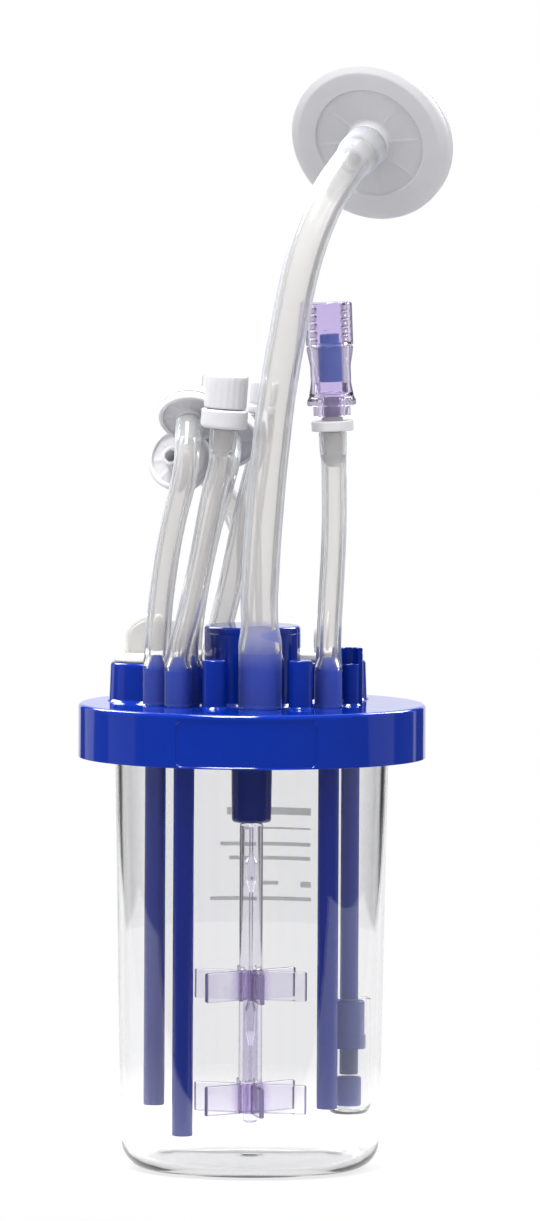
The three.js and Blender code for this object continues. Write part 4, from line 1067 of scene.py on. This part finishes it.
class BIOREACTOR_OT_label(bpy.types.Operator):
    """Clear film round the back of the jar, with plain grey bars where print would be"""

    bl_idname = "bioreactor.label"
    bl_label = "Label film"

    def execute(self, context):
        film = self.patch(59.5, 101.0, 8, 172, 0.06, 0.11, 90)
        piece("label_film", [film], label_film())
        bars = [
            (87.0, 88.9, 63, 101), (83.3, 83.8, 63, 85), (79.0, 80.0, 63, 104), (75.4, 76.4, 63, 100),
            (68.5, 70.0, 62.5, 67.7), (69.0, 70.0, 78, 94.5), (65.0, 66.0, 62.4, 108.5),
        ]
        grids = [self.patch(z0, z1, a0, a1, 0.21, 0.03, 24) for z0, z1, a0, a1 in bars]
        piece("label_bars", grids, print_grey())
        return {"FINISHED"}

    def patch(self, foot, top, start, stop, lift, thick, columns):
        """A thin curved sheet that follows the jar's taper between two heights and two angles."""
        size = sizes()
        a, b = size.jar_foot_radius / MM, size.jar_mouth_radius / MM
        taper_top = 107.7
        z = np.linspace(foot, top, 12)
        radius = a + (b - a) * z / taper_top + lift
        profile = np.concatenate([np.stack([radius, z], 1), np.stack([radius + thick, z], 1)[::-1]])
        angles = np.radians(np.linspace(start, stop, columns))
        return half_ring(upright(), profile, angles)


def half_moon(half_width, tall, corner=1.3):
    """Outline of a grip tab: straight foot with round corners, short upright sides and an elliptical top."""
    side = tall - half_width * 0.72
    turn = np.linspace(0, math.pi, 120)
    top = np.stack([half_width * np.cos(turn), side + (tall - side) * np.sin(turn)], 1)
    bend = np.linspace(0, math.pi / 2, 8)
    left = np.stack([-half_width + corner * (1 - np.cos(bend)), corner * (1 - np.sin(bend))], 1)
    right = np.stack([-left[::-1, 0], left[::-1, 1]], 1)
    foot = np.linspace(-half_width + corner + 0.2, half_width - corner - 0.2, 12)
    return np.concatenate([top, left, np.stack([foot, 0 * foot], 1), right])


class BIOREACTOR_OT_plugs(bpy.types.Operator):
    """White port plugs with their half-moon grip tabs"""

    bl_idname = "bioreactor.plugs"
    bl_label = "Port plugs"

    def execute(self, context):
        for name, node, body, at, turn in (
            ("left_port_plug", "left_plug", "left_stopper", LEFT_BOSS, 0),
            ("right_port_plug", "right_plug", "right_stopper", RIGHT_BOSS, 82),
        ):
            foot = BOSS_TOP + 0.3
            cap = rounded(
                (6.8, foot - 8.0, 0.2), (8.2, foot - 8.0, 0.5), (8.2, foot, 0.15), (10.5, foot, 0.35),
                (10.5, foot + 1.5, 0.5), (9.6, foot + 1.9, 0.8), (0, foot + 1.9, 0), (0, foot - 0.2, 0),
                (6.8, foot - 0.2, 0.3),
            )
            a = math.radians(turn)
            x, y = (math.cos(a), math.sin(a), 0), (-math.sin(a), math.cos(a), 0)
            rim = layered(half_moon(7.95, 10.5), slab_layers(2.5, 0.7, 7), (*at, foot + 1.5), x, (0, 0, 1), y)
            web = layered(half_moon(6.6, 9.0), slab_layers(2.8, 0.5, 6), (*at, foot + 1.6), x, (0, 0, 1), y)
            grids = [turned(upright(at), cap, 96), rim, web]
            piece(name, grids, plug_white(), node, body=body)
        return {"FINISHED"}


def blade_outline(inner, outer, half, corner=0.45):
    """Rounded rectangle that a flat blade has seen along its turning direction."""
    return rounded(
        (inner, -half, corner), (outer, -half, corner), (outer, half, corner), (inner, half, corner), steps=5
    )


class BIOREACTOR_OT_stirrer(bpy.types.Operator):
    """Clear violet shaft, sleeve, two six-bladed impellers and the carrier of the driving magnets"""

    bl_idname = "bioreactor.stirrer"
    bl_label = "Stirrer"

    def execute(self, context):
        axis = upright()
        foot, top = span("impeller_shaft")
        shoulder = 50.45
        thin, thick, pin, bore = 1.7, 2.95, 2.0, 0.35
        journal = HOUSING_FOOT - 0.3
        shaft = rounded(
            (0, foot, 0), (thin, foot, 0.4), (thin, shoulder, 0.1), (thick, shoulder, 0.4),
            (thick, journal, 0.5), (pin, journal, 0.2), (pin, top, 0.3), (0.9, top, 0.2),
            (0.9, journal + 1.0, 0.3), (bore, journal - 1.0, 0.3), (bore, 80.0, 0.5), (1.15, 77.5, 1.0),
            (1.0, 73.0, 1.0), (bore, 70.0, 0.5), (bore, 43.0, 0.5), (1.1, 40.0, 1.0), (0.9, 34.5, 1.0),
            (bore, 31.0, 0.5), (bore, 22.0, 0.1), (0, 22.0, 0),
        )
        piece(
            "stirrer_shaft", [turned(axis, shaft, 64)], clear_violet(), "impeller_shaft",
            body="stirrer",
        )
        z0, z1 = span("shaft_spacer")
        sleeve = rounded((1.95, z0, 0.1), (thick, z0, 0.25), (thick, z1, 0.25), (1.95, z1, 0.1))
        piece(
            "stirrer_sleeve", [turned(axis, sleeve, 64)], clear_violet(), "shaft_spacer",
            body="stirrer",
        )
        blades, first_angle, root, tip, thickness = 6, -78.5, 3.3, 14.9, 1.2
        violet = clear_violet("ground_end_violet_polycarbonate", reach=0.0146)
        for name, node in (("upper_paddles", "upper_impeller"), ("lower_paddles", "lower_impeller")):
            z0, z1 = span(node)
            hub = rounded((1.85, z0, 0.1), (3.4, z0, 0.4), (3.4, z1, 0.4), (1.85, z1, 0.1))
            grids = [turned(axis, hub, 64)]
            for k in range(blades):
                a = math.radians(first_angle + 360 / blades * k)
                out, across = (math.cos(a), math.sin(a), 0), (-math.sin(a), math.cos(a), 0)
                outline = blade_outline(root, tip, (z1 - z0) / 2)
                grids.append(
                    layered(
                        outline, slab_layers(thickness, 0.25), (0, 0, (z0 + z1) / 2), out, (0, 0, 1), across
                    )
                )
            piece(name, grids, violet, node, body="stirrer")
        z0, z1 = span("drive_coupling")
        carrier = rounded((2.3, z0, 0.2), (8.0, z0, 0.5), (8.0, z1, 0.6), (2.3, z1, 0.3))

        def flutes(radius, distance, angle):
            """Four shallow grooves down the carrier's side, between the magnets."""
            groove = np.clip(np.cos(4 * (angle - math.pi / 4)) * 4 - 3, 0, 1)
            return np.where(radius > 7, radius - 0.5 * groove, radius), distance

        ring = turned(axis, carrier, 144, shape=flutes)
        piece("magnet_carrier", [ring], extruded_blue(), "drive_coupling", body="stirrer")
        return {"FINISHED"}


class BIOREACTOR_OT_dip_tubes(bpy.types.Operator):
    """Blue tubes that reach down into the jar"""

    bl_idname = "bioreactor.dip_tubes"
    bl_label = "Dip tubes"

    def execute(self, context):
        for name, node, at, radius in (
            ("left_tube", "inlet_tube", SMALL_BARBS[0], 2.58),
            ("long_tube", "sample_tube", SAMPLE_TUBE, 2.58),
            ("right_tube", "harvest_tube", SMALL_BARBS[5], 2.58), ("sensor_well", "sensor_tube", SENSOR, 2.3),
        ):
            z0, z1 = span(node)
            wall = rounded((1.5, z0, 0.2), (radius, z0, 0.35), (radius, z1, 0.1), (1.5, z1, 0.1))
            piece(name, [turned(upright(at), wall, 64)], extruded_blue(), node)
        return {"FINISHED"}


class BIOREACTOR_OT_sensor_cup(bpy.types.Operator):
    """Clear cup at the foot of the sensor tube, its collar and its insert"""

    bl_idname = "bioreactor.sensor_cup"
    bl_label = "Sensor cup"

    def execute(self, context):
        axis = upright(SENSOR)
        z0, z1 = span("sensor_cup")
        cup = rounded(
            (0, z0, 0), (5.35, z0, 2.2), (5.35, z1, 0.25), (4.45, z1, 0.2), (4.45, z0 + 1.5, 1.2),
            (0, z0 + 1.5, 0), steps=8,
        )
        clear = clear_jar_plastic("clear_cup_polycarbonate", 0.15)
        piece("clear_cup", [turned(axis, cup, 96)], clear, "sensor_cup")
        z0, z1 = span("sensor_collar")
        collar = rounded(
            (2.6, z0, 0.2), (4.15, z0, 0.3), (4.15, z0 + 3.4, 0.15), (3.85, z0 + 3.6, 0.1), (3.85, z1, 0.3),
            (2.6, z1, 0.2),
        )
        # Painted light: the collar and insert are drawn in a lighter blue for the light that reaches them
        # through the clear cup.
        piece("cup_collar", [turned(axis, collar, 64)], painted_light_blue(), "sensor_collar")
        z0, z1 = span("sensor_insert")
        insert = rounded((0, z0, 0), (3.1, z0, 0.3), (3.1, z1, 0.5), (0, z1, 0))
        piece("cup_insert", [turned(axis, insert, 64)], painted_light_blue(), "sensor_insert")
        return {"FINISHED"}


def hose_side(long, shank=2.34, ridge=2.4, tip=1.4, bore=0.9):
    """Barb part of a fitting's section, from its tip inside the hose to the seat."""
    return [
        (bore, SEAT - long, 0.15), (tip, SEAT - long, 0.2), (ridge, SEAT - long * 0.7, 0.1),
        (shank, SEAT - long * 0.66, 0.1), (shank, SEAT, 0.2),
    ]


class BIOREACTOR_OT_disc_filters(bpy.types.Operator):
    """Small disc filters on three of the feed hoses"""

    bl_idname = "bioreactor.disc_filters"
    bl_label = "Disc filters"

    def execute(self, context):
        for key, route, inlet in (
            ("a", FEED_ROUTES[0], 13.6), ("b", FEED_ROUTES[4], 6.0), ("c", FEED_ROUTES[2], 7.6)
        ):
            axis = path_end(smooth_path(route))
            middle = 3.6
            near, far = middle - 2.4, middle + 2.4
            rim, recess, chamber = 8.0, 6.8, 6.4
            first = rounded(
                *hose_side(7.0), (3.6, SEAT, 0.3), (3.6, near + 0.7, 0.4), (recess, near + 0.7, 0.3),
                (recess, near, 0.3), (rim, near, 0.7), (rim, middle - 0.15, 0.1),
                (chamber, middle - 0.15, 0.1), (chamber, middle - 0.75, 0.1), (0.9, middle - 0.75, 0.1),
            )
            second = rounded(
                (1.5, middle + 0.75, 0.1), (chamber, middle + 0.75, 0.1), (chamber, middle + 0.15, 0.1),
                (rim, middle + 0.15, 0.1), (rim, far, 0.7), (recess, far, 0.3), (recess, far - 0.7, 0.3),
                (3.35, far - 0.7, 0.5), (2.45, far + 0.4, 0.4), (2.35, middle + inlet, 0.25),
                (1.5, middle + inlet, 0.2),
            )

            def ribs(radius, distance, angle):
                """Eight low ribs across the recessed face."""
                window = (radius > 3.7) & (radius < 6.7)
                rise = np.clip(np.cos(8 * angle) * 4 - 3, 0, 1) * 0.15
                face = np.sign(distance - middle)
                return radius, distance + np.where(window & (np.abs(distance - middle) > 1), rise * face, 0)

            for side, part in (("hose", first), ("far", second)):
                name, node = f"filter_{key}_{side}_side", f"filter_{key}_{side}_shell"
                piece(name, [turned(axis, part, 96, shape=ribs)], filter_white(), node)
        return {"FINISHED"}


class BIOREACTOR_OT_adapters(bpy.types.Operator):
    """Capped adapters on two of the feed hoses"""

    bl_idname = "bioreactor.adapters"
    bl_label = "Capped adapters"

    def execute(self, context):
        for key, route, flange, thick, stub, stub_long, cap, cap_wall, cap_tall in (
            ("main_feed", FEED_ROUTES[1], 5.9, 4.8, 2.1, 4.6, 5.35, 1.0, 8.6),
            ("side_feed", FEED_ROUTES[3], 3.9, 2.4, 1.9, 3.2, 3.75, 0.9, 6.0),
        ):
            axis = path_end(smooth_path(route))
            top = SEAT + thick
            body = rounded(
                *hose_side(7.0), (flange, SEAT, 0.8), (flange, top, 0.5), (stub, top, 0.3),
                (stub, top + stub_long, 0.3), (0.9, top + stub_long, 0.2),
            )
            foot = top + 0.3
            lid = rounded(
                (cap - cap_wall, foot, 0.2), (cap, foot, 0.25), (cap, foot + cap_tall, 0.8),
                (0, foot + cap_tall, 0), (0, foot + cap_tall - cap_wall, 0),
                (cap - cap_wall, foot + cap_tall - cap_wall, 0.4),
            )

            def grip(radius, distance, angle):
                """Shallow grip ribs round the cap's side."""
                outside = radius > cap - 0.05
                return np.where(outside, radius - 0.06 * (1 - np.cos(20 * angle)), radius), distance

            piece(
                f"{key}_fitting", [turned(axis, body, 72)], filter_white(), f"{key}_adapter"
            )
            piece(
                f"{key}_cover", [turned(axis, lid, 160, shape=grip)], filter_white(),
                f"{key}_cap",
            )
        return {"FINISHED"}


class BIOREACTOR_OT_vent_filter(bpy.types.Operator):
    """Large disc filter on the vent hose, with the film inside it"""

    bl_idname = "bioreactor.vent_filter"
    bl_label = "Vent filter"

    def execute(self, context):
        axis = path_end(smooth_path(VENT_ROUTE))
        middle = 4.6
        near, far = middle - 2.7, middle + 2.7
        rim, crown, chamber, recess = 21.25, 19.0, 17.5, (14.2, 14.45)
        first = rounded(
            *hose_side(10.0, 3.92, 4.0, 2.65, 1.9), (5.6, SEAT, 0.4), (5.6, near + 0.8, 0.9),
            (8.0, near + 0.8, 0.1), (11.0, near + 0.8, 0.1), (recess[0], near + 0.8, 0.35),
            (recess[1], near, 0.3), (crown, near, 1.4), (rim, near + 1.1, 0.8), (rim, middle - 0.15, 0.15),
            (chamber, middle - 0.15, 0.1), (chamber, middle - 1.25, 0.1), (1.9, middle - 1.25, 0.1),
        )
        second = rounded(
            (1.9, middle + 1.25, 0.1), (chamber, middle + 1.25, 0.1), (chamber, middle + 0.15, 0.1),
            (rim, middle + 0.15, 0.15), (rim, far - 1.1, 0.8), (crown, far, 1.4), (recess[1], far, 0.3),
            (recess[0], far - 0.8, 0.35), (11.0, far - 0.8, 0.1), (8.0, far - 0.8, 0.1),
            (4.4, far - 0.8, 0.5), (3.4, far + 0.6, 0.5), (3.2, far + 9.0, 0.3), (1.9, far + 9.0, 0.2),
        )

        def ribs(radius, distance, angle):
            """Low spokes across the recessed face, one every 45 degrees."""
            window = np.clip((radius - 5.4) * 2, 0, 1) * np.clip((14.3 - radius) * 3, 0, 1)
            across = np.abs(((angle + 0.2) * 8 / (2 * math.pi) + 0.5) % 1 - 0.5) * 2 * math.pi / 8 * radius
            rise = np.clip(1.3 - across / 0.35, 0, 1) * 0.15
            outer = np.abs(distance - middle) > 1.5
            return radius, distance + np.where(outer, rise * window * np.sign(distance - middle), 0)

        for side, part in (("front", first), ("back", second)):
            grid = turned(axis, part, 288, shape=ribs)
            piece(f"vent_{side}", [grid], filter_white(), f"vent_filter_{side}")
        low_face, high_face, reach = middle - 0.2, middle + 0.2, 16.8
        film = rounded((0, low_face, 0), (reach, low_face, 0.05), (reach, high_face, 0.05), (0, high_face, 0))
        piece("vent_film", [turned(axis, film, 96)], membrane_film(), "vent_membrane")
        return {"FINISHED"}


class BIOREACTOR_OT_sampling_valve(bpy.types.Operator):
    """Needle-free sampling valve on its adapter"""

    bl_idname = "bioreactor.sampling_valve"
    bl_label = "Sampling valve"

    def execute(self, context):
        axis = path_end(smooth_path(SAMPLE_ROUTE))
        adapter = rounded(
            *hose_side(9.0), (5.3, SEAT, 0.3), (5.3, 2.9, 0.3), (2.65, 2.9, 0.3), (2.65, 3.7, 0.1),
            (2.0, 3.7, 0.1), (2.0, 8.4, 0.2), (0.9, 8.4, 0.2),
        )
        piece("sample_fitting", [turned(axis, adapter, 72)], filter_white(), "sample_adapter")
        foot = 4.0
        skirt, waist, lip, bore_floor = foot + 2.8, foot + 6.2, foot + 16.8, foot + 5.4
        body = rounded(
            (2.3, foot, 0.2), (4.65, foot, 0.4), (4.65, skirt, 0.3), (6.15, skirt, 0.35),
            (6.15, skirt + 1.2, 0.4), (5.65, skirt + 2.2, 0.4), (5.1, waist + 2.1, 1.5),
            (5.1, waist + 6.4, 2.5), (5.85, lip, 0.3), (5.85, lip + 0.8, 0.25), (3.4, lip + 0.8, 0.2),
            (3.4, bore_floor, 0.3), (2.3, bore_floor, 0.1),
        )
        violet = clear_violet("deep_violet_polycarbonate", tint=linear("e6ddf6"))
        piece("valve_shell", [turned(axis, body, 96)], violet, "valve_body")
        base = bore_floor + 3.3
        piston = rounded(
            (0, base, 0), (2.95, base, 0.3), (2.95, base + 9.4, 0.3), (2.45, base + 10.0, 0.2),
            (2.45, base + 12.4, 0.4), (0, base + 12.4, 0),
        )
        piece(
            "valve_plunger", [turned(axis, piston, 64)], piston_blue(), "valve_piston",
            body="valve_core",
        )
        rim, inside, pitch, depth = foot + 17.6 + 0.3, 3.9, 2.0, 0.14
        collar = rounded(
            (inside, rim, 0.2), (5.95, rim, 0.3), (5.95, rim + 10.7, 0.5), (inside, rim + 10.7, 0.3), steps=5
        )
        side = np.stack([np.full(60, inside), np.linspace(rim + 10.2, rim + 0.4, 60)], 1)
        collar = np.concatenate([collar, side])

        def thread(radius, distance, angle):
            """A screw thread inside the collar, one turn every 2 mm."""
            inner = np.abs(radius - inside) < 0.01
            cut = depth * (0.5 + 0.5 * np.cos(angle - 2 * math.pi * distance / pitch))
            return np.where(inner, radius - cut, radius), distance

        ring = turned(axis, collar, 96, shape=thread)
        piece("valve_thread", [ring], violet, "valve_collar")
        return {"FINISHED"}


class BIOREACTOR_OT_inner_parts(bpy.types.Operator):
    """Finishes for the bearings and seals that keep their CAD shape"""

    bl_idname = "bioreactor.inner_parts"
    bl_label = "Bearings and seals"

    def execute(self, context):
        finishes = {
            "upper_bearing": acetal(), "lower_bearing": acetal(), "shaft_seal": silicone_grey(),
            "vessel_seal": silicone_grey(), **{f"magnet_{i}": plated_magnet() for i in range(1, 5)},
        }
        for node, material in finishes.items():
            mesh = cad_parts[node].data
            mesh.materials.clear()
            mesh.materials.append(material)
        return {"FINISHED"}


class BIOREACTOR_OT_hose_facts(bpy.types.Operator):
    """Smooths each hose's route again, at 60 points, and keeps nothing from it."""

    bl_idname = "bioreactor.hose_facts"
    bl_label = "Hose facts"

    def execute(self, context):
        small, large = sizes().small_hose, sizes().large_hose
        ends = (
            ("fitting", ["filter_a_hose_side", "filter_a_far_side"]),
            ("connector", ["main_feed_fitting", "main_feed_cover"]),
            ("fitting", ["filter_c_hose_side", "filter_c_far_side"]),
            ("connector", ["side_feed_fitting", "side_feed_cover"]),
            ("fitting", ["filter_b_hose_side", "filter_b_far_side"]),
        )
        feeds = enumerate(zip(FEED_ROUTES, ends), 1)
        valve = ["sample_fitting", "valve_shell", "valve_plunger", "valve_thread"]
        for name, route, diameter, end, on in (
            *((f"feed_hose_{i}_wall", route, small, *end) for i, (route, end) in feeds),
            ("sample_hose_wall", SAMPLE_ROUTE, small, "fitting", valve),
            ("vent_hose_wall", VENT_ROUTE, large, "fitting", ["vent_front", "vent_back", "vent_film"]),
        ):
            path = smooth_path(route, 60)
        return {"FINISHED"}


# ------------------------------------------------------------------ panel and registration

OPERATORS = (
    BIOREACTOR_OT_stage, BIOREACTOR_OT_hoses, BIOREACTOR_OT_jar, BIOREACTOR_OT_label, BIOREACTOR_OT_lid,
    BIOREACTOR_OT_plugs, BIOREACTOR_OT_stirrer, BIOREACTOR_OT_dip_tubes, BIOREACTOR_OT_sensor_cup,
    BIOREACTOR_OT_disc_filters, BIOREACTOR_OT_adapters, BIOREACTOR_OT_vent_filter,
    BIOREACTOR_OT_sampling_valve, BIOREACTOR_OT_inner_parts, BIOREACTOR_OT_hose_facts,
)


class BIOREACTOR_PT_panel(bpy.types.Panel):
    """Lists the pieces, sizes and colours"""

    bl_idname = "BIOREACTOR_PT_panel"
    bl_label = "Bench bioreactor"
    bl_space_type = "VIEW_3D"
    bl_region_type = "UI"
    bl_category = "Bioreactor"

    def draw(self, context):
        for group in (context.scene.bioreactor_sizes, context.scene.bioreactor_colours):
            box = self.layout.box()
            for name in group.__annotations__:
                box.prop(group, name)
        for operator in OPERATORS:
            self.layout.operator(operator.bl_idname)


CLASSES = (BioreactorSizes, BioreactorColours, *OPERATORS, BIOREACTOR_PT_panel)


def register():
    """Registers the classes and puts the two property groups on the scene."""
    for cls in CLASSES:
        bpy.utils.register_class(cls)
    bpy.types.Scene.bioreactor_sizes = bpy.props.PointerProperty(type=BioreactorSizes)
    bpy.types.Scene.bioreactor_colours = bpy.props.PointerProperty(type=BioreactorColours)


def unregister():
    """Takes the property groups and classes away again."""
    del bpy.types.Scene.bioreactor_colours
    del bpy.types.Scene.bioreactor_sizes
    for cls in reversed(CLASSES):
        bpy.utils.unregister_class(cls)


def main():
    register()
    for operator in OPERATORS:
        group, name = operator.bl_idname.split(".")
        getattr(getattr(bpy.ops, group), name)()


if __name__ == "__main__":
    main()
